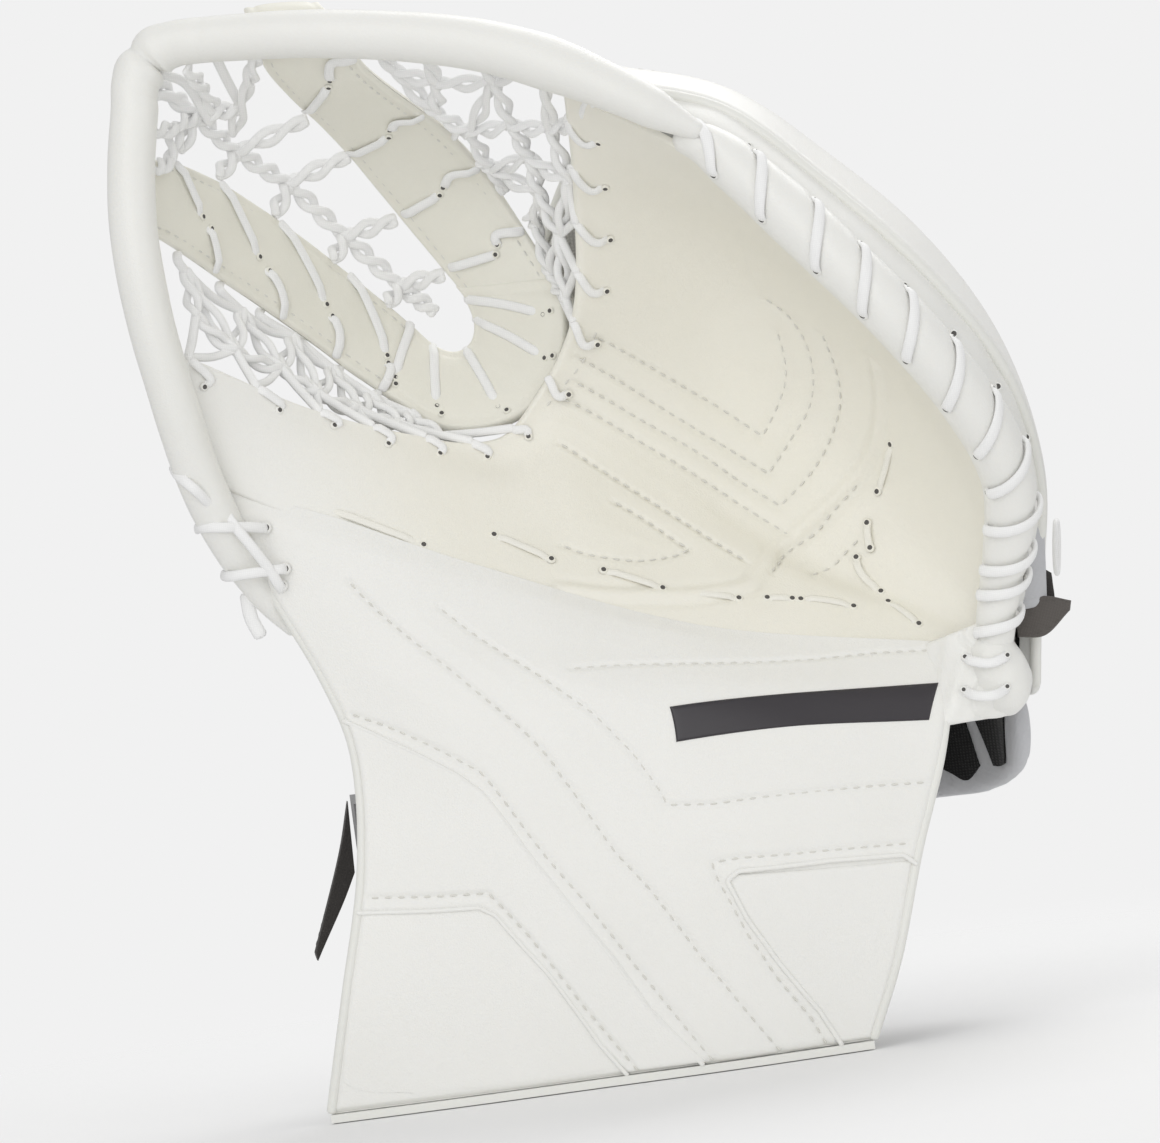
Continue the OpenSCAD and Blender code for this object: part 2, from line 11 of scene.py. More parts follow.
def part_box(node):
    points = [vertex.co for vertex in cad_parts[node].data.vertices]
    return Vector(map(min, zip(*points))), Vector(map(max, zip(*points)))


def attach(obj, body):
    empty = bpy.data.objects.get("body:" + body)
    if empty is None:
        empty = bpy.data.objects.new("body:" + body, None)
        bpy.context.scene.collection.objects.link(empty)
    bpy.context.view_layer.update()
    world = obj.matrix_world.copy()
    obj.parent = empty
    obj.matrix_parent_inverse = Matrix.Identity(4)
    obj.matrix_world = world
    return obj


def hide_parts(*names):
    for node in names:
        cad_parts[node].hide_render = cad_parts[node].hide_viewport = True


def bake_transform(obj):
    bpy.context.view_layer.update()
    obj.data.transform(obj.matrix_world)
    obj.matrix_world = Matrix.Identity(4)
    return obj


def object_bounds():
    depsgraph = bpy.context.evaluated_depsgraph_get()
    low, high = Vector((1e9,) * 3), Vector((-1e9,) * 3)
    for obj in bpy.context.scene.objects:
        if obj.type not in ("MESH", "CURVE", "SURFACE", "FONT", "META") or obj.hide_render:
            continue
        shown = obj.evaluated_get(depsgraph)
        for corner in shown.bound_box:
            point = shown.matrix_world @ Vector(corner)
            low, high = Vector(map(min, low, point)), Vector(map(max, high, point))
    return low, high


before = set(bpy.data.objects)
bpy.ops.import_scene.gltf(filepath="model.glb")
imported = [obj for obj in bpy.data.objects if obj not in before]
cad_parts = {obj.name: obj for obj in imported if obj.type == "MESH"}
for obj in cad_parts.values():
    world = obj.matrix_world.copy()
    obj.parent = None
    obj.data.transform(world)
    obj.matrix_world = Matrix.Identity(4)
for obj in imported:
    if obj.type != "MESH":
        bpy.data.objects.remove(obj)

cad_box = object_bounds()
MM = 0.001

# ---------------------------------------------------------------- camera, light and floor

ROLL = math.radians(7.8)          # the glove leans this much in its picture
EYE_DISTANCE = 2.2                # from the cuff's face
FACE_Y = -0.060                   # the cuff's face
AIM = Vector((-0.0135, FACE_Y, 0.0382))
VIEW_WIDTH = 0.4246               # what the camera takes in at the cuff's face
SENSOR = 36.0


def make_camera():
    """Looks straight at the cuff, turned by the lean."""
    data = bpy.data.cameras.new("camera")
    data.sensor_width = SENSOR
    data.lens = SENSOR * EYE_DISTANCE / VIEW_WIDTH
    data.clip_start = 0.05
    camera = bpy.data.objects.new("camera", data)
    bpy.context.scene.collection.objects.link(camera)
    right = Vector((math.cos(ROLL), 0, -math.sin(ROLL)))
    up = Vector((math.sin(ROLL), 0, math.cos(ROLL)))
    back = Vector((0, -1, 0))
    turn = Matrix((right, up, back)).transposed().to_4x4()
    camera.matrix_world = Matrix.Translation(AIM + back * EYE_DISTANCE) @ turn
    bpy.context.scene.camera = camera


def area_light(name, place, target, size, power):
    """A square white lamp that faces its target."""
    data = bpy.data.lights.new(name, "AREA")
    data.size = size
    data.energy = power
    lamp = bpy.data.objects.new(name, data)
    bpy.context.scene.collection.objects.link(lamp)
    lamp.location = place
    lamp.rotation_euler = (Vector(target) - Vector(place)).to_track_quat("-Z", "Y").to_euler()


def make_world(seen=0.88, lit=0.56):
    """An even studio: one brightness for what the camera sees, another for the light it gives."""
    world = bpy.data.worlds.new("studio")
    world.use_nodes = True
    nodes, links = world.node_tree.nodes, world.node_tree.links
    nodes.clear()
    out = nodes.new("ShaderNodeOutputWorld")
    mix = nodes.new("ShaderNodeMixShader")
    path = nodes.new("ShaderNodeLightPath")
    for socket, strength in ((1, lit), (2, seen)):
        back = nodes.new("ShaderNodeBackground")
        back.inputs["Color"].default_value = (1, 1, 1, 1)
        back.inputs["Strength"].default_value = strength
        links.new(back.outputs[0], mix.inputs[socket])
    links.new(path.outputs["Is Camera Ray"], mix.inputs[0])
    links.new(mix.outputs[0], out.inputs[0])
    bpy.context.scene.world = world
    bpy.context.scene.view_settings.view_transform = "Standard"


def make_floor():
    """A pale disc that fades out round the glove, so that no horizon shows."""
    radius, z = 1.2, cad_box[0][2] - 0.0004
    sides = 96
    ring = [(radius * math.cos(math.tau * k / sides), radius * math.sin(math.tau * k / sides), z)
            for k in range(sides)]
    mesh = bpy.data.meshes.new("floor")
    fan = [(0, 1 + k, 1 + (k + 1) % sides) for k in range(sides)]
    mesh.from_pydata([(0, 0, z)] + ring, [], fan)
    floor = bpy.data.objects.new("floor", mesh)
    bpy.context.scene.collection.objects.link(floor)
    mat = bpy.data.materials.new("floor")
    mat.use_nodes = True
    nodes, links = mat.node_tree.nodes, mat.node_tree.links
    nodes.clear()
    out = nodes.new("ShaderNodeOutputMaterial")
    mix = nodes.new("ShaderNodeMixShader")
    clear = nodes.new("ShaderNodeBsdfTransparent")
    pale = nodes.new("ShaderNodeBsdfDiffuse")
    pale.inputs["Color"].default_value = (0.93, 0.93, 0.93, 1)
    where = nodes.new("ShaderNodeTexCoord")
    length = nodes.new("ShaderNodeVectorMath")
    length.operation = "LENGTH"
    fade = nodes.new("ShaderNodeMapRange")
    fade.interpolation_type = "SMOOTHSTEP"
    fade.inputs["From Min"].default_value = 0.15
    fade.inputs["From Max"].default_value = 0.75
    links.new(where.outputs["Object"], length.inputs[0])
    links.new(length.outputs["Value"], fade.inputs["Value"])
    links.new(fade.outputs["Result"], mix.inputs[0])
    links.new(pale.outputs[0], mix.inputs[1])
    links.new(clear.outputs[0], mix.inputs[2])
    links.new(mix.outputs[0], out.inputs[0])
    mesh.materials.append(mat)


make_camera()
make_world()
make_floor()
area_light("key", (-0.9, -1.6, 1.5), (0, 0, 0.05), 1.4, 8)
area_light("fill", (1.4, -1.2, 0.5), (0, 0, 0.05), 1.6, 3.2)
area_light("front", (-0.5, -2.8, 0.3), (0, 0, 0.08), 2.2, 18.5)
area_light("back", (0.6, 0.9, 1.5), (0, 0, 0.1), 1.4, 15)

# ---------------------------------------------------------------- control nets, millimetres

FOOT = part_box("cuff_leather")[0][2] / MM
CUFF = [
    [(-131, -56, FOOT), (-80, -60, FOOT), (-30, -60, FOOT), (20, -60, FOOT), (70, -54, FOOT)],
    [(-120, -57, -106), (-71, -60, -109), (-19, -60, -112), (32, -60, -115), (83, -54, -118)],
    [(-108, -55, -60), (-65, -60, -65), (-14, -61, -70), (41, -60, -76), (96, -52, -80)],
    [(-105, -48, -18), (-59, -57, -25), (-8, -59, -32), (54, -57, -39), (108, -48, -50)],
    [(-113, -41, 12), (-70, -51, 6), (-16, -55, -5), (53, -53, -18), (114, -43, -30)],
    [(-129, -37, 49), (-85, -44, 34), (-28, -47, 15), (47, -45, -5), (117, -36, -17)],
    [(-142, -40, 87), (-102, -38, 71), (-50, -36, 45), (28, -34, 12), (116, -31, -6)],
]
# One net for the whole palm. Above the third row its first four columns lie over the pocket,
# where there is no leather, and only steer the curve of the rest.
PALM = [
    [(-150, -41, 92), (-110, -37, 74), (-72, -35, 57), (-38, -34, 41), (-6, -33, 28),
     (24, -32, 16), (52, -31, 8), (82, -30, 2), (137, -34, -27)],
    [(-154, -52, 116), (-110, -33, 98), (-71, -21, 81), (-38, -14, 70), (-8, -11, 64),
     (25, -9, 48), (53, -11, 31), (82, -18, 15), (136, -32, -14)],
    [(-150, -57, 140), (-108, -28, 113), (-70, -10, 98), (-38, 0, 91), (-12, 4, 100),
     (27, 8, 76), (54, 6, 50), (83, -5, 26), (136, -30, -6)],
    [(-145, -62, 160), (-106, -26, 130), (-70, -8, 116), (-40, -22, 135), (-1, -11, 139),
     (50, 12, 114), (88, 6, 78), (112, -10, 37), (136, -31, 0)],
    [(-140, -64, 180), (-104, -32, 150), (-66, -18, 142), (-40, -44, 178), (3, -33, 175),
     (57, -16, 152), (101, -26, 108), (129, -38, 54), (138, -35, 2)],
    [(-135, -64, 200), (-100, -38, 172), (-62, -30, 168), (-30, -50, 228), (4, -76, 212),
     (52, -95, 177), (98, -99, 126), (137, -76, 58), (140, -43, 2)],
]
BACKHAND = [
    [(17, -82, 213), (60, -82, 199), (93, -84, 168), (126, -84, 130), (151, -72, 90),
     (160, -52, 50), (155, -28, 8), (151, -14, -26)],
    [(19, -54, 222), (62, -50, 208), (95, -38, 182), (126, -32, 149), (150, -26, 108),
     (161, -18, 56), (158, -8, 15), (150, 2, -29)],
    [(20, -4, 212), (54, 0, 198), (85, 12, 172), (114, 20, 139), (137, 26, 100),
     (149, 32, 54), (148, 36, 12), (142, 38, -29)],
    [(2, 34, 188), (31, 40, 169), (58, 54, 146), (84, 62, 118), (104, 68, 85),
     (117, 72, 48), (118, 72, 10), (114, 70, -29)],
    [(-16, 42, 156), (2, 50, 138), (20, 66, 116), (40, 74, 92), (58, 80, 66), (72, 82, 38),
     (78, 82, 6), (80, 78, -29)],
]
THUMB_BACK = [
    [(-8, 36, 12), (-38, 42, 20), (-72, 42, 32), (-106, 32, 48), (-134, 8, 62), (-148, -24, 74)],
    [(-14, 44, 50), (-44, 50, 56), (-80, 48, 68), (-118, 34, 84), (-147, 4, 96), (-157, -30, 104)],
    [(-26, 42, 80), (-52, 44, 82), (-86, 36, 94), (-120, 16, 112), (-146, -14, 124),
     (-156, -38, 130)],
]
THUMB_ROLL = [(-146, -58, 246), (-152, -63, 227), (-156, -66, 205), (-158, -68, 180),
              (-156.5, -66, 150), (-152.5, -60, 121), (-148.5, -52, 96), (-143.5, -46, 77),
              (-137, -38, 60)]
THUMB_TAIL = [(-122, -28, 31), (-129, -32, 42), (-137, -38, 59)]
TOP_ROLL = [(-127, -63, 249), (-110, -69, 248), (-84, -77, 245), (-52, -85, 239),
            (-23, -92, 231), (2, -97, 220), (24, -100, 207), (40, -100, 196), (50, -100, 189)]
FINGER_ROLL = [(45, -92, 189), (56, -96, 181), (78, -100, 156), (94, -102, 136), (109, -101, 117),
               (122, -96, 99), (133, -88, 82), (142, -78, 64), (146, -66, 46), (143, -54, 26),
               (138, -45, 7), (134, -40, -10)]

# ---------------------------------------------------------------- curves and surfaces


def spline_blend(p0, p1, p2, p3, t):
    """Catmull-Rom blend of four points, from p1 at t = 0 to p2 at t = 1."""
    return 0.5 * (2 * p1 + (p2 - p0) * t + (2 * p0 - 5 * p1 + 4 * p2 - p3) * t * t
                  + (3 * p1 - p0 - 3 * p2 + p3) * t ** 3)


def spline(points, u):
    """Catmull-Rom curve through the points, as in the CAD, at u from 0 to 1."""
    pts = np.asarray(points, float)
    pts = pts.reshape(len(pts), -1)
    n = len(pts) - 1
    ext = np.concatenate([2 * pts[:1] - pts[1:2], pts, 2 * pts[-1:] - pts[-2:-1]])
    s = np.clip(np.asarray(u, float) * n, 0, n - 1e-6)
    i = s.astype(int)
    return spline_blend(ext[i], ext[i + 1], ext[i + 2], ext[i + 3], (s - i)[..., None])


def lengths(pts):
    """The distance run along a broken line at each of its points."""
    return np.concatenate([[0], np.cumsum(np.linalg.norm(np.diff(pts, axis=0), axis=1))])


def resample(pts, count):
    """count points at equal distances along a broken line."""
    run = lengths(pts)
    at = np.linspace(0, run[-1], count)
    return np.stack([np.interp(at, run, pts[:, k]) for k in range(pts.shape[1])], 1)


def curve(points, step=1.0):
    """The smooth curve through the points, in equal steps of about that length."""
    dense = spline(points, np.linspace(0, 1, 24 * len(points)))
    return resample(dense, max(4, int(round(lengths(dense)[-1] / step)) + 1))


def broken(points, step=1.0):
    """The broken line through the points, in equal steps of about that length."""
    pts = np.asarray(points, float)
    return resample(pts, max(4, int(round(lengths(pts)[-1] / step)) + 1))


def halfway(a, b):
    """The point in the middle between two points."""
    return (np.asarray(a, float) + np.asarray(b, float)) / 2


def unit(a):
    """Each vector scaled to length one."""
    a = np.asarray(a, float)
    return a / np.maximum(np.linalg.norm(a, axis=-1, keepdims=True), 1e-9)


class Surface:
    """Smooth surface through a net of rows, by the same spline as the CAD's."""

    def __init__(self, net):
        self.net = np.asarray(net, float)

    def at(self, u, v):
        u, v = np.broadcast_arrays(np.asarray(u, float), np.asarray(v, float))
        rows, cols = self.net.shape[:2]
        flat = spline(self.net.transpose(1, 0, 2).reshape(cols, -1), u.ravel())
        line = flat.reshape(-1, rows, 3)
        ext = np.concatenate([2 * line[:, :1] - line[:, 1:2], line,
                              2 * line[:, -1:] - line[:, -2:-1]], 1)
        n = rows - 1
        s = np.clip(v.ravel() * n, 0, n - 1e-6)
        i = s.astype(int)
        pick = [ext[np.arange(len(i)), i + k] for k in range(4)]
        return spline_blend(*pick, (s - i)[:, None]).reshape(u.shape + (3,))

    def normal(self, u, v, e=0.006):
        u, v = np.broadcast_arrays(np.asarray(u, float), np.asarray(v, float))
        du = self.at(np.minimum(1, u + e), v) - self.at(np.maximum(0, u - e), v)
        dv = self.at(u, np.minimum(1, v + e)) - self.at(u, np.maximum(0, v - e))
        return unit(np.cross(du, dv))

    def line(self, uv, step=0.8, smooth=True, lift=0.0):
        """Points and outward normals along a line drawn on the surface."""
        dense = spline(uv, np.linspace(0, 1, 40 * len(uv))) if smooth else broken(uv, 0.004)
        pts = self.at(dense[:, 0], dense[:, 1])
        both = np.concatenate([pts, self.normal(dense[:, 0], dense[:, 1])], 1)
        run = lengths(pts)
        at = np.linspace(0, run[-1], max(4, int(run[-1] / step) + 1))
        both = np.stack([np.interp(at, run, both[:, k]) for k in range(6)], 1)
        n = unit(both[:, 3:])
        return both[:, :3] + n * lift, n


def near(points, lines):
    """Distance from each point to the nearest point of the lines."""
    cloud = np.concatenate(lines)
    tree = KDTree(len(cloud))
    for k, p in enumerate(cloud):
        tree.insert(p, k)
    tree.balance()
    found = [tree.find(p)[2] for p in points.reshape(-1, 3)]
    return np.array(found).reshape(points.shape[:-1])


def inside(u, v, corners):
    """Whether each (u, v) lies inside the polygon."""
    hit = np.zeros(np.shape(u), bool)
    poly = np.asarray(corners, float)
    for (x0, y0), (x1, y1) in zip(poly, np.roll(poly, -1, axis=0)):
        cross = (y0 > v) != (y1 > v)
        with np.errstate(divide="ignore", invalid="ignore"):
            hit ^= cross & (u < (x1 - x0) * (v - y0) / (y1 - y0 if y1 != y0 else 1e-9) + x0)
    return hit


def smooth_step(x, low, high):
    """0 below low, 1 above high, and a smooth rise between."""
    t = np.clip((x - low) / (high - low), 0, 1)
    return t * t * (3 - 2 * t)


def waves(p, size, seed=0):
    """Soft, repeatable unevenness from -1 to 1, about size millimetres across."""
    rng = np.random.default_rng(seed)
    total = np.zeros(p.shape[:-1])
    for _ in range(7):
        way = unit(rng.normal(size=3)) * math.tau / (size * rng.uniform(0.7, 1.8))
        total += np.sin(p @ way + rng.uniform(0, math.tau))
    return total / 4


# ---------------------------------------------------------------- materials


def shader(name, colour, rough, spec=0.5, sheen=0.0, through=0.0, coat=0.0):
    """A new material with its nodes, links and main shader. through is its share of
    light that passes under the surface."""
    mat = bpy.data.materials.new(name)
    mat.use_nodes = True
    bsdf = mat.node_tree.nodes["Principled BSDF"]
    bsdf.inputs["Base Color"].default_value = (*colour, 1)
    bsdf.inputs["Roughness"].default_value = rough
    bsdf.inputs["Specular IOR Level"].default_value = spec
    bsdf.inputs["Sheen Weight"].default_value = sheen
    bsdf.inputs["Coat Weight"].default_value = coat
    if through:
        bsdf.inputs["Subsurface Weight"].default_value = through
        bsdf.inputs["Subsurface Radius"].default_value = (0.004, 0.0036, 0.003)
        bsdf.inputs["Subsurface Scale"].default_value = 0.5
    return mat, mat.node_tree.nodes, mat.node_tree.links, bsdf


def coordinates(nodes):
    """Object coordinates, in metres."""
    return nodes.new("ShaderNodeTexCoord").outputs["Object"]


def add_bump(nodes, links, bsdf, height, strength, distance):
    """Turns a height into the bumps of the shader."""
    bump = nodes.new("ShaderNodeBump")
    bump.inputs["Strength"].default_value = strength
    bump.inputs["Distance"].default_value = distance
    links.new(height, bump.inputs["Height"])
    links.new(bump.outputs["Normal"], bsdf.inputs["Normal"])


def tinted(nodes, links, bsdf, fac, low, high):
    """Colours the shader between low and high, by fac."""
    ramp = nodes.new("ShaderNodeMix")
    ramp.data_type = "RGBA"
    ramp.inputs[6].default_value = (*low, 1)
    ramp.inputs[7].default_value = (*high, 1)
    links.new(fac, ramp.inputs[0])
    links.new(ramp.outputs[2], bsdf.inputs["Base Color"])


def leather(name, low, high, rough=0.42, grain=0.35, pores=1500, coat=0.05, fade=None):
    """Synthetic leather: pebbled grain over soft pressing marks, and a slight change of tint.
    fade is the paler tint that it takes on towards the thumb side; the darker, yellower tint it
    keeps on the pocket side is painted shade and interreflected light."""
    mat, nodes, links, bsdf = shader(name, high, rough, spec=0.42, coat=coat, through=0.06)
    bsdf.inputs["Coat Roughness"].default_value = 0.35
    place = coordinates(nodes)
    cells = nodes.new("ShaderNodeTexVoronoi")
    cells.inputs["Scale"].default_value = pores
    cells.feature = "SMOOTH_F1"
    cells.inputs["Smoothness"].default_value = 0.7
    soft = nodes.new("ShaderNodeTexNoise")
    soft.inputs["Scale"].default_value = 140
    soft.inputs["Detail"].default_value = 5
    cloud = nodes.new("ShaderNodeTexNoise")
    cloud.inputs["Scale"].default_value = 22
    cloud.inputs["Detail"].default_value = 3
    for node in (cells, soft, cloud):
        links.new(place, node.inputs["Vector"])
    both = nodes.new("ShaderNodeMath")
    both.operation = "MULTIPLY_ADD"
    both.inputs[1].default_value = 1.6
    links.new(soft.outputs["Fac"], both.inputs[0])
    links.new(cells.outputs["Distance"], both.inputs[2])
    add_bump(nodes, links, bsdf, both.outputs[0], grain, 0.00025)
    tinted(nodes, links, bsdf, cloud.outputs["Fac"], low, high)
    # painted shade: along X the tint goes from the darker, yellower pocket colour to the paler fade
    # colour on the thumb side
    if fade:
        base = bsdf.inputs["Base Color"].links[0].from_socket
        apart = nodes.new("ShaderNodeSeparateXYZ")
        links.new(place, apart.inputs[0])
        share = nodes.new("ShaderNodeMapRange")
        share.interpolation_type = "SMOOTHSTEP"
        share.inputs["From Min"].default_value = -0.050
        share.inputs["From Max"].default_value = -0.135
        links.new(apart.outputs["X"], share.inputs["Value"])
        blend = nodes.new("ShaderNodeMix")
        blend.data_type = "RGBA"
        blend.inputs[7].default_value = (*fade, 1)
        links.new(share.outputs["Result"], blend.inputs[0])
        links.new(base, blend.inputs[6])
        links.new(blend.outputs[2], bsdf.inputs["Base Color"])
    return mat


def woven(name, low, high, threads=900, rough=0.75, depth=0.0003):
    """Webbing or knit: two sets of ribs across each other, in object space."""
    mat, nodes, links, bsdf = shader(name, high, rough, spec=0.25, sheen=0.15)
    place = coordinates(nodes)
    ribs = []
    for axis in ("X", "Z"):
        rib = nodes.new("ShaderNodeTexWave")
        rib.bands_direction = axis
        rib.inputs["Scale"].default_value = threads / 6.3
        rib.inputs["Distortion"].default_value = 0.9
        links.new(place, rib.inputs["Vector"])
        ribs.append(rib)
    most = nodes.new("ShaderNodeMath")
    most.operation = "MULTIPLY"
    links.new(ribs[0].outputs["Fac"], most.inputs[0])
    links.new(ribs[1].outputs["Fac"], most.inputs[1])
    add_bump(nodes, links, bsdf, most.outputs[0], 0.6, depth)
    tinted(nodes, links, bsdf, most.outputs[0], low, high)
    return mat


def plain(name, colour, rough, grain=0.0, size=400, **more):
    """One colour, with a fine grain where it is asked for."""
    mat, nodes, links, bsdf = shader(name, colour, rough, **more)
    if grain:
        noise = nodes.new("ShaderNodeTexNoise")
        noise.inputs["Scale"].default_value = size
        noise.inputs["Detail"].default_value = 4
        links.new(coordinates(nodes), noise.inputs["Vector"])
        add_bump(nodes, links, bsdf, noise.outputs["Fac"], grain, 0.0004)
    return mat


M = {
    "white": leather("white leather", (0.84, 0.835, 0.80), (0.885, 0.88, 0.85)),
    "rim": leather("rim leather", (0.85, 0.848, 0.81), (0.89, 0.885, 0.855), rough=0.38, coat=0.08),
    # palm and bands: their darker, yellower tint is painted shade and interreflected light of the
    # pocket, not a colour of the leather
    "palm": leather("palm leather with painted pocket shade", (0.86, 0.84, 0.752), (0.90, 0.88, 0.803), rough=0.46,
                    fade=(0.88, 0.875, 0.84)),
    "band": leather("band leather with painted pocket shade", (0.84, 0.825, 0.735), (0.88, 0.865, 0.785), rough=0.46),
    "piping": leather("piping", (0.79, 0.79, 0.75), (0.84, 0.84, 0.80), grain=0.15),
    # thread: grey-white darker than the leather, partly its own colour and partly painted shade of
    # the needle holes at each stitch
    "thread": plain("thread", (0.74, 0.73, 0.68), 0.6),
    "lace": woven("lace", (0.90, 0.90, 0.895), (0.95, 0.95, 0.94), threads=2600, rough=0.5,
                  depth=0.0001),
    "cream lace": woven("cream lace", (0.87, 0.855, 0.79), (0.91, 0.895, 0.83), threads=2600,
                        rough=0.5, depth=0.0001),
    # near-black painted shade for the inside of the lace holes, which are not cut open
    "hole": plain("lace hole painted shade", (0.10, 0.095, 0.09), 0.8),
    "foam": plain("foam", (0.62, 0.62, 0.60), 0.9, grain=0.6, size=900),
    "board": plain("board", (0.74, 0.76, 0.78), 0.35, through=0.2),
    "lining": woven("lining", (0.52, 0.51, 0.48), (0.66, 0.655, 0.62), threads=1500, rough=0.9),
    "grey strap": woven("grey webbing", (0.11, 0.10, 0.092), (0.165, 0.15, 0.14), 3600),
    "dark strap": woven("dark webbing", (0.042, 0.038, 0.036), (0.065, 0.06, 0.056), 3600),
    "plastic": plain("moulded nylon", (0.30, 0.30, 0.30), 0.4, grain=0.15),
    "guard": woven("guard fabric", (0.58, 0.585, 0.605), (0.65, 0.655, 0.675), 4200, rough=0.55),
    "mesh": woven("air mesh", (0.004, 0.004, 0.004), (0.02, 0.02, 0.02), 1800, rough=0.8),
    "badge": plain("badge film", (0.034, 0.030, 0.035), 0.32, grain=0.05),
}

# ---------------------------------------------------------------- meshes


class Piece:
    """Gathers shapes, in millimetres, and makes one object of them."""

    def __init__(self):
        self.verts, self.faces, self.marks, self.count = [], [], [], 0

    def add(self, verts, faces, mark=0):
        verts = np.asarray(verts, float).reshape(-1, 3)
        self.verts.append(verts)
        self.faces += [tuple(int(i) + self.count for i in f) for f in faces]
        self.marks += [mark] * len(faces)
        self.count += len(verts)
        return self

    def make(self, name, *looks, body="cuff", nodes=()):
        mesh = bpy.data.meshes.new(name)
        mesh.from_pydata((np.concatenate(self.verts) * MM).tolist(), [], self.faces)
        for look in looks:
            mesh.materials.append(M[look])
        mesh.polygons.foreach_set("material_index", self.marks)
        mesh.polygons.foreach_set("use_smooth", [True] * len(mesh.polygons))
        mesh.update()
        obj = bpy.data.objects.new(name, mesh)
        bpy.context.scene.collection.objects.link(obj)
        if body:
            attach(obj, body)
        if nodes:
            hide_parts(*nodes)
        return obj


def bend(obj):
    """Bakes obj's placement into its mesh and returns it."""
    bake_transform(obj)
    return obj


def slab(piece, outer, inner):
    """A closed sheet between two grids of points; outer faces outward."""
    nu, nv = outer.shape[:2]
    n = nu * nv
    i, j = (k.ravel() for k in np.meshgrid(np.arange(nu - 1), np.arange(nv - 1), indexing="ij"))
    quads = np.stack([i * nv + j, (i + 1) * nv + j, (i + 1) * nv + j + 1, i * nv + j + 1], 1)
    faces, back = quads.tolist(), (quads + n)[:, ::-1].tolist()
    ring = ([i * nv for i in range(nu)] + [(nu - 1) * nv + j for j in range(1, nv)]
            + [i * nv + nv - 1 for i in range(nu - 2, -1, -1)] + [j for j in range(nv - 2, 0, -1)])
    walls = [(a, a + n, b + n, b) for a, b in zip(ring, ring[1:] + ring[:1])]
    verts = np.concatenate([outer.reshape(-1, 3), inner.reshape(-1, 3)])
    piece.add(verts, faces + walls + back)


def edge_steps(count, size, round_over):
    """Steps from 0 to 1 that are closer at both ends, for an edge rounded over that length."""
    close = np.array([0, 0.06, 0.22, 0.5, 1.0]) * round_over / size
    middle = np.linspace(close[-1], 1 - close[-1], max(3, count - 8))
    return np.concatenate([close[:-1], middle, 1 - close[:-1][::-1]])


WHOLE = ([(0, 0), (1, 0)], [(0, 1), (1, 1)])


class Patch:
    """A piece of a surface between two lines drawn on it."""

    def __init__(self, surf, edge_a, edge_b, nu, nv, round_over=2.0, smooth=False):
        self.surf, self.round_over = surf, round_over
        edges = [spline(edge, np.linspace(0, 1, 300)) if smooth else broken(edge, 0.003)
                 for edge in (edge_a, edge_b)]
        along_a = lengths(surf.at(edges[0][:, 0], edges[0][:, 1]))[-1]
        s = edge_steps(nu, max(along_a, 20), round_over)
        mid = [e[len(e) // 2] for e in edges]
        across = np.linalg.norm(surf.at(*mid[0]) - surf.at(*mid[1]))
        t = edge_steps(nv, max(across, 12), round_over)
        a, b = (np.stack([np.interp(s, np.linspace(0, 1, len(e)), e[:, k]) for k in (0, 1)], 1)
                for e in edges)
        uv = a[:, None] + (b - a)[:, None] * t[None, :, None]
        self.u, self.v = uv[..., 0], uv[..., 1]
        self.p, self.n = surf.at(self.u, self.v), surf.normal(self.u, self.v)
        along = np.linalg.norm(np.diff(self.p, axis=0), axis=2)
        over = np.linalg.norm(np.diff(self.p, axis=1), axis=2)
        zero_u, zero_v = np.zeros((1, self.p.shape[1])), np.zeros((self.p.shape[0], 1))
        from_u = np.concatenate([zero_u, np.cumsum(along, 0)], 0)
        from_v = np.concatenate([zero_v, np.cumsum(over, 1)], 1)
        self.sides = [from_u, from_u[-1:] - from_u, from_v, from_v[:, -1:] - from_v]
        du, dv = self.p[-1, 0] - self.p[0, 0], self.p[0, -1] - self.p[0, 0]
        self.turned = np.dot(np.cross(du, dv), self.n[0, 0]) < 0

    def drop(self, keep=(True, True, True, True)):
        """How far the rounded edges fall below the face."""
        d = np.min([s for s, k in zip(self.sides, keep) if k], axis=0)
        r = self.round_over
        x = np.clip(1 - d / r, 0, 1)
        return r * (1 - np.sqrt(1 - x * x))

    def put(self, piece, outer, inner):
        """Adds the sheet between two heights over the surface, each a number or a grid."""
        top, low = (self.p + self.n * np.broadcast_to(height, self.u.shape)[..., None]
                    for height in (outer, inner))
        if self.turned:
            top, low = top[:, ::-1], low[:, ::-1]
        slab(piece, top, low)


def frames(pts, ups=None):
    """Directions along, sideways and up at each point of a line."""
    ahead = unit(np.gradient(pts, axis=0))
    if ups is None:
        up = np.zeros_like(pts)
        first = np.cross(ahead[0], (0.3, 0.5, 0.81))
        up[0] = unit(first)
        for k in range(1, len(pts)):
            up[k] = unit(up[k - 1] - ahead[k] * np.dot(up[k - 1], ahead[k]))
    else:
        up = np.broadcast_to(np.asarray(ups, float), pts.shape)
        up = unit(up - ahead * np.sum(up * ahead, 1)[:, None])
    return ahead, np.cross(ahead, up), up


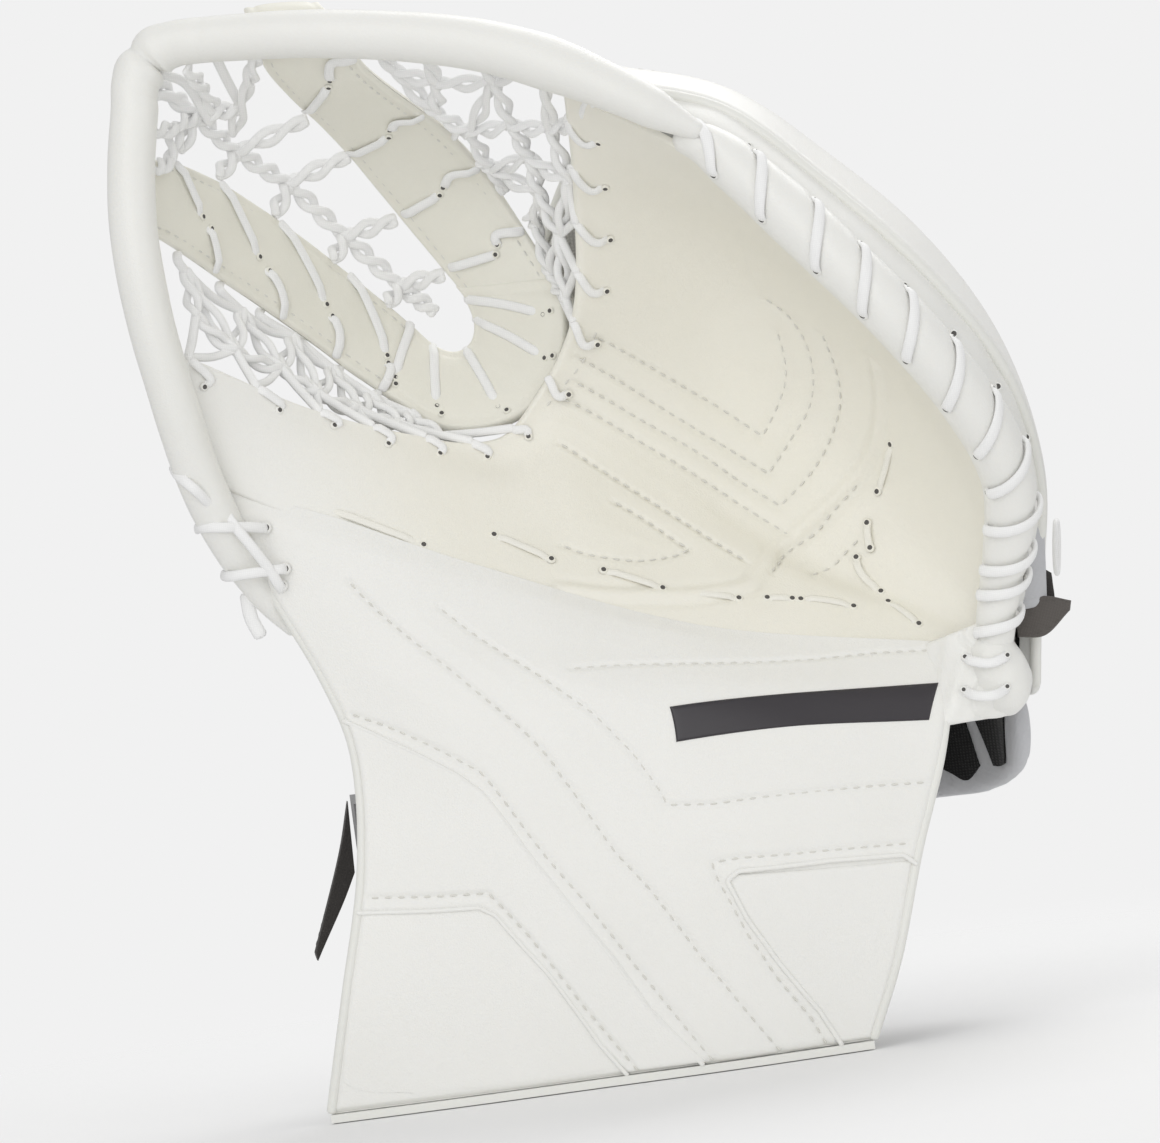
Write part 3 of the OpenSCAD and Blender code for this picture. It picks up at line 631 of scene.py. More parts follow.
def tube(piece, pts, radius, sides=12, flat=1.0, ups=None, caps=True, shape=None):
    """A round or oval rod along pts. flat is its thickness over its width, and shape scales the
    radius round each ring."""
    pts = np.asarray(pts, float)
    ahead, side, up = frames(pts, ups)
    turn = np.linspace(0, math.tau, sides, endpoint=False)
    r = np.broadcast_to(np.asarray(radius, float), (len(pts),))[:, None]
    if shape is not None:
        r = r * shape
    ring = (side[:, None] * (r * np.cos(turn))[..., None]
            + up[:, None] * (r * np.sin(turn) * flat)[..., None]) + pts[:, None]
    verts = ring.reshape(-1, 3)
    faces = []
    n = len(pts)
    for a in range(n - 1):
        for b in range(sides):
            c = (b + 1) % sides
            faces.append((a * sides + b, a * sides + c, (a + 1) * sides + c, (a + 1) * sides + b))
    if caps:
        for k, way in ((0, -1), (n - 1, 1)):
            size = float(np.broadcast_to(radius, (n,))[k])
            mid = pts[k]
            low, high = k * sides, len(verts)
            dome = mid + (ring[k] - mid) * 0.72 + ahead[k] * way * 0.38 * size
            verts = np.concatenate([verts, dome, [mid + ahead[k] * way * 0.5 * size]])
            for b in range(sides):
                c = (b + 1) % sides
                quad = (low + c, low + b, high + b, high + c)
                tri = (high + c, high + b, high + sides)
                faces += [quad if way < 0 else quad[::-1], tri if way < 0 else tri[::-1]]
    piece.add(verts, faces)


def strand(piece, pts, size=1.9):
    """A flat lace along the smooth curve through the points."""
    tube(piece, curve(pts, 1.3), size, sides=9, flat=0.5, ups=(0, -1, 0))


def ball(piece, centre, axes, rings=6, sides=10):
    """An ellipsoid; axes are its three half-axes as vectors."""
    axes = np.asarray(axes, float)
    verts, faces = [centre + axes[2]], []
    for a in range(1, rings):
        tilt = math.pi * a / rings
        for b in range(sides):
            turn = math.tau * b / sides
            verts.append(centre + axes[0] * math.sin(tilt) * math.cos(turn)
                         + axes[1] * math.sin(tilt) * math.sin(turn) + axes[2] * math.cos(tilt))
    verts.append(centre - axes[2])
    last = len(verts) - 1
    for b in range(sides):
        c = (b + 1) % sides
        faces.append((0, 1 + b, 1 + c))
        for a in range(rings - 2):
            low = 1 + a * sides
            faces.append((low + b, low + sides + b, low + sides + c, low + c))
        low = 1 + (rings - 2) * sides
        faces.append((low + b, last, low + c))
    piece.add(verts, faces)


def stitches(piece, pts, normals, pitch=4.4, size=2.7, thick=0.42, sink=0.12):
    """A row of thread stitches lying on a line, each dipping into the leather at its ends."""
    run = lengths(pts)
    count = max(1, int(run[-1] / pitch))
    at = (np.arange(count) + 0.5) * run[-1] / count
    mid = np.stack([np.interp(at, run, pts[:, k]) for k in range(3)], 1)
    nor = unit(np.stack([np.interp(at, run, normals[:, k]) for k in range(3)], 1))
    ahead = unit(np.stack([np.interp(at + 1, run, pts[:, k]) - np.interp(at - 1, run, pts[:, k])
                           for k in range(3)], 1))
    for p, n, t in zip(mid, nor, ahead):
        side = np.cross(n, t)
        ball(piece, p - n * sink, (side * thick, n * thick, t * size / 2), rings=5, sides=6)


def hole(piece, p, n, size=1.5):
    """A lace hole: a slightly raised rim of the piece's first look round a shallow disc of its
    second look, a near-black painted shade that stands for the dark opening.
    """
    n = unit(n)
    side = unit(np.cross(n, (0.2, 0.31, 0.93)))
    other = np.cross(n, side)
    count = 12
    turn = np.linspace(0, math.tau, count + 1)[:-1]
    ring = np.cos(turn)[:, None] * side + np.sin(turn)[:, None] * other
    profile = [(size * 1.55, -0.3), (size * 1.25, 0.3), (size * 0.86, 0.38), (size * 0.72, 0.3),
               (size * 0.6, 0.22)]
    verts = np.concatenate([p + ring * r + n * h for r, h in profile] + [[p + n * 0.2]])
    rows = [np.arange(count) + a * count for a in range(len(profile))]
    quads = [np.stack([a, np.roll(a, -1), np.roll(b, -1), b], 1).tolist()
             for a, b in zip(rows, rows[1:])]
    fan = [(a, b, len(profile) * count) for a, b in zip(rows[-1], np.roll(rows[-1], -1))]
    # the inner rings and the centre disc carry the painted hole shade
    dark = quads[2] + quads[3] + fan
    piece.add(verts, quads[0] + quads[1] + dark)
    piece.marks[-len(dark):] = [1] * len(dark)


# ---------------------------------------------------------------- the cuff

cuff = Surface(CUFF)
# the palm starts just under the top edge of the cuff
edge_u = np.linspace(0, 1, 200)
edge_x = cuff.at(edge_u, 0.97)[:, 0]
start_u = np.interp([p[0] + 1 for p in PALM[0]], edge_x, edge_u)
tucked = cuff.at(start_u, 0.97) - cuff.normal(start_u, 0.97) * 1.1
PALM[0] = [PALM[0][0]] + [tuple(p) for p in tucked[1:-1]] + [PALM[0][-1]]
palm = Surface(PALM)
backhand, thumb_back = Surface(BACKHAND), Surface(THUMB_BACK)

# Thickness of each layer, and the gap left between two of them
LEATHER, CUFF_FOAM, PALM_FOAM, BACK_FOAM, PLATE, LINING = 1.6, 6.0, 5.0, 6.0, 1.8, 1.0
GAP = 0.1
UNDER_CUFF_FOAM = LEATHER + CUFF_FOAM
UNDER_PALM_FOAM = LEATHER + PALM_FOAM


def hidden_layer(patch, top, low, name, look, body, nodes):
    """A layer under the leather, between two depths, with softened edges."""
    out = Piece()
    drop = patch.drop() * 0.5
    patch.put(out, top - drop, low + drop * 0.2)
    return out.make(name, look, body=body, nodes=nodes)


# Lines on the cuff, as (across, up) shares of its face
TOP_RIDGE = [(0.0, 0.572), (0.074, 0.531), (0.204, 0.471), (0.245, 0.445), (0.305, 0.389),
             (0.369, 0.323), (0.483, 0.2), (0.557, 0.114), (0.683, 0.0)]
CORNER_RIDGE = [(0.0, 0.279), (0.158, 0.279), (0.25, 0.281), (0.28, 0.27), (0.371, 0.186),
                (0.479, 0.062), (0.543, 0.0)]
SIDE_RIDGE = [(1.0, 0.31), (0.975, 0.327), (0.852, 0.327), (0.70, 0.319), (0.682, 0.305),
              (0.721, 0.245), (0.782, 0.176), (0.878, 0.078), (0.94, 0.0)]
TOP_STITCH = [(0.02, 0.588), (0.09, 0.558), (0.246, 0.478), (0.291, 0.432), (0.437, 0.285),
              (0.529, 0.182), (0.705, 0.0)]
CORNER_STITCH = [(0.02, 0.298), (0.158, 0.298), (0.268, 0.300), (0.30, 0.275), (0.341, 0.238),
                 (0.445, 0.122), (0.567, 0.0)]
SIDE_STITCH = [(0.98, 0.346), (0.86, 0.344), (0.70, 0.339), (0.655, 0.333), (0.665, 0.31),
               (0.721, 0.225), (0.782, 0.152), (0.862, 0.07), (0.915, 0.0)]
LINE_1 = [(0.20, 0.875), (0.262, 0.735), (0.315, 0.62), (0.361, 0.531), (0.395, 0.471),
          (0.435, 0.421), (0.491, 0.355), (0.555, 0.293), (0.643, 0.192), (0.697, 0.138),
          (0.83, 0.0)]
LINE_2 = [(0.352, 0.862), (0.40, 0.765), (0.44, 0.685), (0.481, 0.605), (0.501, 0.549),
          (0.535, 0.481), (0.573, 0.421)]
LINE_2_ACROSS = [(0.573, 0.421), (0.64, 0.420), (0.701, 0.427), (0.824, 0.439), (0.985, 0.459)]
LINE_3 = [(0.493, 0.731), (0.57, 0.767), (0.645, 0.802), (0.703, 0.828), (0.834, 0.88),
          (0.926, 0.926), (0.985, 0.948)]


def cuff_heights(p, u, v):
    """Height of the cuff's leather over the design surface."""
    low_left = inside(u, v, [(-0.1, -0.1), (-0.1, 0.572)] + TOP_RIDGE + [(0.683, -0.1)])
    right = inside(u, v, [(1.1, -0.1), (1.1, 0.31)] + SIDE_RIDGE + [(0.94, -0.1)])
    level = np.zeros(p.shape[:-1])
    for area, ridge, depth in ((low_left, TOP_RIDGE, 1.5), (right, SIDE_RIDGE, 1.3)):
        d = near(p, broken_lines([ridge]))
        level -= depth * smooth_step(np.where(area, d, -d), -0.5, 0.5)
    return level


def quilting(p, lines, groove=0.75, width=1.1, puff=0.9, reach=13.0):
    """Sewn-down lines with the foam swelling between them."""
    d = near(p, lines)
    return puff * (1 - np.exp(-(d / reach) ** 2)) - groove * np.exp(-(d / width) ** 2)


def broken_lines(lines):
    """The points of straight-sided lines drawn on the cuff."""
    return [cuff.line(line, 0.5, smooth=False)[0] for line in lines]


def make_cuff():
    """The cuff's leather, panels, trim, badge bar and the layers under its leather."""
    sewn = broken_lines([TOP_STITCH, SIDE_STITCH, LINE_1, LINE_2, LINE_2_ACROSS, LINE_3])
    body = Patch(cuff, *WHOLE, 216, 236, round_over=3.0)
    height = cuff_heights(body.p, body.u, body.v) + quilting(body.p, sewn)
    height += 0.25 * waves(body.p, 70, 1) - body.drop((True, True, True, False))
    # the top edge thins out to lie flush on the palm, and most of all on the thumb side
    to_top = body.sides[3]
    fade = 1 - smooth_step(to_top, 0, 16)
    height -= fade * (height + 0.75) * (0.9 - 0.45 * smooth_step(body.u, 0.3, 0.5))
    piece = Piece()
    body.put(piece, height + 0.6, -LEATHER)
    piece.make("cuff_leather_face", "white", body="cuff", nodes=["cuff_leather"])

    # the panels on the lower part of the cuff
    def panel(name, edge_a, edge_b, level, lines, node, counts):
        part = Patch(cuff, edge_a, edge_b, *counts, round_over=1.6)
        h = level + 0.15 * waves(part.p, 60, 3) - part.drop()
        if lines:
            h = h + quilting(part.p, broken_lines(lines), puff=0.5)
        out = Piece()
        part.put(out, h, np.minimum(h - 1.0, level - 1.0))
        out.make(name, "white", body="cuff", nodes=[node])

    panel("cuff_corner_panel_leather", [(0.006, 0.004), (0.006, 0.285)],
          [(0.548, 0.004), (0.515, 0.035), (0.375, 0.192), (0.285, 0.280), (0.275, 0.285)],
          -0.15, [], "cuff_corner_panel", (90, 90))
    panel("cuff_side_panel_leather", [(0.994, 0.004), (0.994, 0.318)],
          [(0.935, 0.004), (0.878, 0.072), (0.782, 0.17), (0.70, 0.27), (0.677, 0.316)],
          0.25, [], "cuff_side_panel", (90, 80))
    panel("cuff_diagonal_band", [(0.69, 0.004), (0.562, 0.118), (0.488, 0.205), (0.374, 0.328),
                                 (0.31, 0.394), (0.25, 0.45), (0.205, 0.476), (0.078, 0.536),
                                 (0.006, 0.575)],
          [(0.543, 0.004), (0.479, 0.062), (0.371, 0.186), (0.28, 0.27), (0.25, 0.281),
           (0.20, 0.28), (0.158, 0.279), (0.08, 0.279), (0.006, 0.279)],
          0.75, [CORNER_STITCH], "cuff_diagonal_panel", (150, 90))

    # folded edges, edge piping and thread
    trim = Piece()
    for line, lift, size in ((TOP_RIDGE, 0.55, 0.95), (SIDE_RIDGE, 0.5, 0.95),
                             (CORNER_RIDGE, 0.35, 0.85)):
        pts, nor = cuff.line(line, 1.2, smooth=False, lift=lift)
        tube(trim, pts, size, sides=10, flat=0.8, ups=nor)
    trim.make("cuff_folded_edges", "white", body="cuff")

    thread = Piece()
    for line, lift in ((TOP_STITCH, 0.1), (SIDE_STITCH, 0.1), (LINE_1, 0.1), (LINE_2, 0.1),
                       (LINE_2_ACROSS, 0.1), (LINE_3, 0.1), (CORNER_STITCH, 0.3)):
        pts, nor = cuff.line(line, 0.8, smooth=False, lift=lift)
        stitches(thread, pts, nor, pitch=4.7)
    thread.make("cuff_stitching", "thread", body="cuff")

    binding = Piece()
    for u in (0.0, 1.0):
        pts, nor = cuff.line([(u, 0.004), (u, 0.25), (u, 0.5), (u, 0.75), (u, 0.985)], 1.5)
        tube(binding, pts - nor * 1.3, 1.9, sides=12, ups=nor)
    binding.make("cuff_side_piping", "piping", body="cuff", nodes=["cuff_side_binding"])

    bar = Patch(cuff, [(0.587, 0.532), (0.972, 0.617)], [(0.597, 0.622), (0.983, 0.764)],
                60, 24, round_over=1.2)
    out = Piece()
    lift = 2.1 - bar.drop() * 0.6
    bar.put(out, lift, lift - 1.2)
    out.make("cuff_badge_bar", "badge", body="cuff", nodes=["cuff_badge"])

    # what is under the leather
    for name, node, look, top, low in (
            ("cuff_foam_layer", "cuff_foam", "foam", -LEATHER - GAP, -UNDER_CUFF_FOAM),
            ("cuff_board", "cuff_plate", "board", -UNDER_CUFF_FOAM - GAP,
             -UNDER_CUFF_FOAM - PLATE),
            ("cuff_lining_layer", "cuff_lining", "lining", -UNDER_CUFF_FOAM - PLATE - GAP,
             -UNDER_CUFF_FOAM - PLATE - LINING)):
        layer = Patch(cuff, [(0.006, 0.006), (0.994, 0.006)], [(0.006, 0.994), (0.994, 0.994)],
                      60, 60, round_over=0.8)
        made = hidden_layer(layer, top, low, name, look, "cuff", [node])


make_cuff()

# ---------------------------------------------------------------- the palm

# Lines on the palm, as (across, up) shares of its net
PALM_LINES = [
    [(0.525, 0.539), (0.573, 0.524), (0.621, 0.517), (0.675, 0.517), (0.699, 0.519)],
    [(0.699, 0.519), (0.694, 0.569), (0.688, 0.632), (0.673, 0.687)],
    [(0.511, 0.497), (0.549, 0.483), (0.601, 0.471), (0.655, 0.469), (0.731, 0.481)],
    [(0.731, 0.481), (0.723, 0.547), (0.718, 0.625), (0.705, 0.689), (0.685, 0.725),
     (0.659, 0.733)],
    [(0.515, 0.453), (0.555, 0.441), (0.603, 0.435), (0.691, 0.439), (0.768, 0.451)],
    [(0.768, 0.451), (0.764, 0.515), (0.752, 0.59), (0.741, 0.67), (0.713, 0.745)],
    [(0.499, 0.419), (0.549, 0.404), (0.599, 0.395), (0.659, 0.395), (0.727, 0.405),
     (0.808, 0.413)],
    [(0.487, 0.325), (0.529, 0.289), (0.581, 0.259), (0.639, 0.232), (0.729, 0.202)],
    [(0.451, 0.108), (0.487, 0.100), (0.539, 0.106), (0.573, 0.118), (0.617, 0.146),
     (0.641, 0.172)],
    [(0.541, 0.216), (0.571, 0.204), (0.601, 0.188), (0.635, 0.170)],
    [(0.77, 0.198), (0.80, 0.29), (0.824, 0.431), (0.812, 0.509), (0.804, 0.569)],
    [(0.846, 0.281), (0.862, 0.35), (0.868, 0.415), (0.856, 0.503)],
]
PALM_FOLD = [(0.441, 0.024), (0.507, 0.034), (0.575, 0.054), (0.647, 0.080), (0.72, 0.125),
             (0.752, 0.19), (0.785, 0.29), (0.808, 0.40), (0.806, 0.485), (0.798, 0.56),
             (0.792, 0.65), (0.784, 0.721), (0.77, 0.79)]
PALM_EDGE_STITCH = [(0.02, 0.345), (0.1, 0.36), (0.2, 0.355), (0.3, 0.35), (0.4, 0.365),
                    (0.47, 0.4), (0.515, 0.48), (0.525, 0.6), (0.527, 0.75), (0.528, 0.9),
                    (0.53, 0.97)]
PALM_OUTER = [(0.0, 0.0), (0.25, 0.0), (0.5, 0.0), (0.75, 0.0), (0.94, 0.0), (0.988, 0.03),
              (1.0, 0.12), (1.0, 0.4), (1.0, 0.7), (1.0, 0.9), (0.985, 0.985), (0.95, 1.0),
              (0.85, 1.0), (0.75, 1.0), (0.62, 1.0), (0.5, 1.0)]
PALM_INNER = [(0.0, 0.385), (0.06, 0.40), (0.13, 0.405), (0.2, 0.40), (0.27, 0.395),
              (0.34, 0.40), (0.41, 0.41), (0.455, 0.43), (0.482, 0.465), (0.495, 0.52),
              (0.499, 0.6), (0.50, 0.7), (0.50, 0.8), (0.50, 0.9), (0.50, 0.95), (0.50, 1.0)]


def palm_parts():
    """The palm's leather with its fold, its thread and the layers under it."""
    sewn = [palm.line(line, 0.5)[0] for line in PALM_LINES]
    fold = palm.line(PALM_FOLD, 0.5)[0]
    skin = Patch(palm, PALM_OUTER, PALM_INNER, 330, 120, round_over=2.4, smooth=True)
    across = near(skin.p, [fold])
    height = quilting(skin.p, sewn, groove=0.8, width=1.2, puff=1.0, reach=11)
    height += 1.3 * np.exp(-(across / 2.6) ** 2) - 0.7 * np.exp(-((across - 4.2) / 1.6) ** 2)
    height += 0.45 * waves(skin.p, 55, 5) - skin.drop()
    piece = Piece()
    skin.put(piece, height, -LEATHER)
    bend(piece.make("palm_leather_face", "palm", body=None,
                    nodes=["palm_thumb_leather", "palm_finger_leather"]))

    thread = Piece()
    for line in PALM_LINES:
        pts, nor = palm.line(line, 0.8, lift=-0.15)
        stitches(thread, pts, nor, pitch=4.5)
    edge, nor = palm.line(PALM_EDGE_STITCH, 0.8, lift=0.1)
    stitches(thread, edge, nor, pitch=5.2)
    bend(thread.make("palm_stitching", "thread", body=None))

    for name, nodes, look, top, low, edge in (
            ("palm_foam_layer", ["palm_thumb_foam", "palm_finger_foam"], "foam",
             -LEATHER - GAP, -UNDER_PALM_FOAM, 0.01),
            ("palm_lining_layer", ["palm_thumb_lining", "palm_finger_lining"], "lining",
             -UNDER_PALM_FOAM - PLATE - GAP, -UNDER_PALM_FOAM - PLATE - LINING, 0.015)):
        outer = [(min(max(u, edge), 1 - edge), min(max(v, edge), 1 - edge))
                 for u, v in PALM_OUTER]
        inner = [(min(max(u + 0.012, edge), 1 - edge), min(v - 0.02, 1 - edge))
                 for u, v in PALM_INNER]
        layer = Patch(palm, outer, inner, 110, 44, round_over=1.0, smooth=True)
        made = bend(hidden_layer(layer, top, low, name, look, None, nodes))
    plate = Patch(palm, [(0.56, 0.42), (0.97, 0.42)], [(0.56, 0.97), (0.97, 0.97)], 50, 40,
                  round_over=1.0)
    out = Piece()
    plate.put(out, -UNDER_PALM_FOAM - GAP - plate.drop() * 0.5, -UNDER_PALM_FOAM - PLATE)
    bend(out.make("palm_board", "board", body=None, nodes=["palm_finger_plate"]))


palm_parts()

# ---------------------------------------------------------------- the padded rim


CORNER = [(-150, -61, 238), (-143, -60, 247), (-132, -63, 249.5)]


def rim():
    """The thumb roll and the top roll, one padded tube with a folded corner between them."""
    centre = curve(THUMB_TAIL + THUMB_ROLL[::-1][1:-1] + CORNER + TOP_ROLL[1:], 1.6)
    run = lengths(centre)
    corner = np.argmin(np.linalg.norm(centre - np.array([-146, -60, 245]), axis=1))
    total, at_corner = run[-1], run[corner]
    size = np.interp(run, [0, 16, 36, 60, at_corner - 40, at_corner, at_corner + 30,
                           at_corner + 90, total - 60, total - 18, total],
                     [2.6, 5.2, 7.4, 8.6, 8.8, 8.8, 8.5, 8.9, 9.9, 7.4, 3.2])
    sides = 40
    ahead, side, up = frames(centre, (0, -1, 0))
    turn = np.linspace(0, math.tau, sides, endpoint=False)
    shape = np.ones((len(centre), sides))
    for k, p in enumerate(centre):
        fold = abs(run[k] - at_corner)
        shape[k] *= 1 - 0.24 * math.exp(-(fold / 1.5) ** 2) * (1 + 0.4 * np.cos(turn + 0.4))
        shape[k] += 0.085 * math.exp(-((fold - 5.5) / 3.2) ** 2)
        for where, deep, side_at in ((-16, 0.05, 0.3), (-26, 0.035, 1.2), (14, 0.04, 0.6),
                                     (24, 0.03, 2.0)):
            shape[k] -= (deep * math.exp(-((run[k] - at_corner - where) / 1.6) ** 2)
                         * np.clip(np.cos(turn - side_at), 0, 1))
    ring = centre[:, None] + side[:, None] * np.cos(turn)[None, :, None] \
        + up[:, None] * np.sin(turn)[None, :, None]
    shape += 0.018 * waves(ring, 60, 8) + 0.01 * waves(ring, 22, 9)
    piece = Piece()
    tube(piece, centre, size, sides=sides, ups=(0, -1, 0), shape=shape)
    verts = piece.verts[0]
    # where the tube turns the corner, its inner side folds on the plane between the two rolls
    pivot = centre[corner]
    way = unit(centre[corner + 6] - centre[corner - 6])
    before = np.repeat(np.arange(len(centre)), sides) <= corner
    reach = (verts[:len(before)] - pivot) @ way
    close = np.linalg.norm(verts[:len(before)] - pivot, axis=1) < 26
    wrong = close & ((before & (reach > 0)) | (~before & (reach < 0)))
    fixed = verts[:len(before)]
    fixed[wrong] -= way * reach[wrong][:, None]
    obj = bend(piece.make("rim_roll_leather", "rim", body=None, nodes=["thumb_roll", "top_roll"]))
    core = Piece()
    tube(core, centre[2:-2], np.maximum(size[2:-2] - 2.4, 1.2), sides=18)
    inner = bend(core.make("rim_roll_core", "foam", body=None,
                           nodes=["thumb_roll_core", "top_roll_core"]))


WRAPS = [0.073, 0.148, 0.226, 0.309, 0.40, 0.493, 0.591, 0.68, 0.763, 0.831, 0.875, 0.943]


def finger_edge():
    """The padded finger edge and the lace whipped round it, one slanting turn after another."""
    centre = curve(FINGER_ROLL, 1.5)
    share = lengths(centre) / lengths(centre)[-1]
    marks = [spline(FINGER_ROLL, [u])[0] for u in WRAPS]
    at = [share[np.argmin(np.linalg.norm(centre - m, axis=1))] for m in marks]
    size = np.interp(share, [0, 0.08, 0.2, 0.6, 0.78, 0.9, 1],
                     [6.0, 9.4, 10.6, 10.6, 9.6, 8.2, 7.2])
    ahead, side, up = frames(centre, (0, -1, 0))
    turns = []
    for a in at:
        late = smooth_step(a, 0.62, 0.8)
        slant = (8.6 - 3.2 * late) / lengths(centre)[-1]
        first, last = 16 - 44 * late, 148 + 14 * late
        degs = np.concatenate([[first, first + 6], np.linspace(first + 16, last - 14, 7),
                               [last - 5, last]])
        rise = np.concatenate([[0.2, 0.9], np.full(7, 1.35 + 0.9 * late), [0.9, 0.2]])
        path = []
        for deg, out in zip(degs, rise):
            where = a + slant * (2 * (deg - first) / (last - first) - 1)
            c, s, u = (np.array([np.interp(where, share, m[:, k]) for k in range(3)])
                       for m in (centre, side, up))
            if np.dot(s, (0.7, 0, 0.7)) < 0:
                s = -s
            g = math.radians(deg)
            r = np.interp(where, share, size)
            path.append((c, s * math.cos(g) + u * math.sin(g), r, out))
        turns.append(path)
    beds = [curve([c + w * r for c, w, r, _ in path], 0.8) for path in turns]
    sides = 44
    turn = np.linspace(0, math.tau, sides, endpoint=False)
    ring = (side[:, None] * np.cos(turn)[None, :, None]
            + up[:, None] * np.sin(turn)[None, :, None]) * size[:, None, None] + centre[:, None]
    shape = 1 - 0.12 * np.exp(-(near(ring, beds) / 2.9) ** 2) + 0.015 * waves(ring, 40, 12)
    piece = Piece()
    tube(piece, centre, size, sides=sides, ups=(0, -1, 0), shape=shape)
    piece.make("finger_roll_leather", "rim", body="fingers", nodes=["finger_roll"])
    core = Piece()
    tube(core, centre[3:-3], size[3:-3] - 2.8, sides=16)
    core.make("finger_roll_core_foam", "foam", body="fingers",
                        nodes=["finger_roll_core"])
    lace, holes = Piece(), Piece()
    for path in turns:
        pts = curve([c + w * (r * 0.9 + out) for c, w, r, out in path], 1.0)
        away = np.array([w for _, w, *_ in path])
        t = np.linspace(0, 1, len(pts))
        ups = np.stack([np.interp(t, np.linspace(0, 1, len(away)), away[:, k])
                        for k in range(3)], 1)
        tube(lace, pts, 2.15, sides=10, flat=0.5, ups=ups)
        for c, w, r, _ in (path[0], path[-1]):
            hole(holes, c + w * (r * 0.92 + 0.5), w, 1.5)
    lace.make("finger_edge_lacing", "lace", body="fingers", nodes=["edge_lace"])
    holes.make("finger_edge_holes", "rim", "hole", body="fingers")


rim()
finger_edge()

# ---------------------------------------------------------------- the pocket: bands and nets

BAND_OUTER = [(-160, -50, 184), (-148, -44, 180), (-125, -14, 160), (-102, 6, 139), (-90, 12, 127),
              (-79, 15, 117), (-75, 15, 113), (-59, 12, 100), (-40, 8, 97), (-20, 7, 104),
              (-9, 5, 121), (-6, 6, 139), (-9, 11, 150), (-24, 14, 183), (-40, -8, 206),
              (-66, -50, 230), (-76, -64, 252), (-80, -56, 259)]
BAND_INNER = [(-160, -48, 206), (-146, -42, 210), (-128, -16, 202), (-104, 10, 182), (-81, 26, 159),
              (-66, 30, 143), (-63, 30, 139), (-56, 31, 131), (-49, 31, 128), (-43, 31, 131),
              (-41, 31, 138), (-43, 30, 146), (-46, 29, 152), (-66, 24, 184), (-83, 0, 210),
              (-103, -46, 235), (-106, -58, 255), (-108, -52, 261)]
COLUMNS = len(BAND_OUTER) - 1
BAND_THICK = 4.4
band = Surface([BAND_OUTER, BAND_INNER])


def band_part(name, node, first, last, lift=0.0):
    """A stretch of the band, from one column of its net to another."""
    a, b = first / COLUMNS, last / COLUMNS
    n = int((last - first) * 14)
    part = Patch(band, [(a, 0), (b, 0)], [(a, 1), (b, 1)], n, 34, round_over=2.2)
    from_edge = np.minimum(part.sides[2], part.sides[3])
    height = lift + 0.9 * (1 - np.exp(-(from_edge / 7) ** 2))
    height -= 0.55 * np.exp(-((from_edge - 3.4) / 0.9) ** 2) + part.drop()
    height += 0.25 * waves(part.p, 30, 21)
    piece = Piece()
    part.put(piece, height, part.drop() - BAND_THICK)
    made = bend(piece.make(name, "band", body=None, nodes=[node]))


def band_trim():
    """Thread along both edges of the bands."""
    thread = Piece()
    for v in (0.115, 0.885):
        pts, nor = band.line([(u, v) for u in np.linspace(0.02, 0.93, 40)], 0.8, lift=0.05)
        stitches(thread, pts, nor, pitch=4.6)
    bend(thread.make("band_stitching", "thread", body=None))


def twist(piece, a, b, turns=2.0, sag=(0, 0, 0), spread=1.6, size=1.75):
    """Two lace strands twisted round each other from a to b."""
    a, b, sag = (np.asarray(x, float) for x in (a, b, sag))
    n = max(14, int(np.linalg.norm(b - a) / 1.1))
    t = np.linspace(0, 1, n)
    mid = a + (b - a) * t[:, None] + sag * (4 * t * (1 - t))[:, None]
    ahead, side, up = frames(mid, (0.05, -1, 0.1))
    swell = spread * np.sin(math.pi * np.clip(t, 0.04, 0.96)) ** 0.4
    for phase in (0, math.pi):
        g = math.tau * turns * t + phase
        pts = mid + side * (np.cos(g) * swell * 1.45)[:, None] + up * (np.sin(g) * swell)[:, None]
        tube(piece, pts, size, sides=9, flat=0.6, ups=up)


def on_surface(piece, surf, uv, lift, size=1.9):
    """A flat lace lying on a surface, its ends dipping into their holes."""
    pts, nor = surf.line(uv, 1.1)
    t = np.linspace(0, 1, len(pts))
    dip = lift * np.minimum(1, 5 * np.minimum(t, 1 - t)) - 0.25
    tube(piece, pts + nor * dip[:, None], size, sides=9, flat=0.45, ups=nor)


# The middle net: its spine along the open pocket, the ties and single laces at the corner where
# the spine starts, and the ends of the laces that leave it at each knot
SPINE = [(-146, -47, 240), (-132, -26, 226), (-120, -2, 212), (-103, 16, 199), (-85, 28, 177),
         (-67, 36, 156), (-55, 36, 144)]
CORNER_TIES = [((-147, -52, 219), (-139, -40, 221), (-132, -26, 226)),
               ((-131, -62, 240), (-127, -44, 234), (-124, -22, 225)),
               ((-105, -66, 240), (-110, -44, 233), (-120, -12, 218)),
               ((-148, -54, 205), (-143, -42, 209), (-139, -34, 222))]
CORNER_STRANDS = [[(-148, -50, 232), (-140, -40, 233), (-132, -27, 227)],
                  [(-141, -54, 240), (-133, -42, 236), (-127, -24, 222)],
                  [(-120, -62, 243), (-118, -46, 236), (-115, -26, 227)]]
UP_ENDS = [(-115, -24, 226), (-92, -17, 219), (-79, 6, 205), (-65, 23, 180), (-50, 28, 157)]
DOWN_ENDS = [(-139, -33, 213), (-127, -13, 203), (-109, 6, 187), (-90, 20, 168), (-72, 28, 149)]
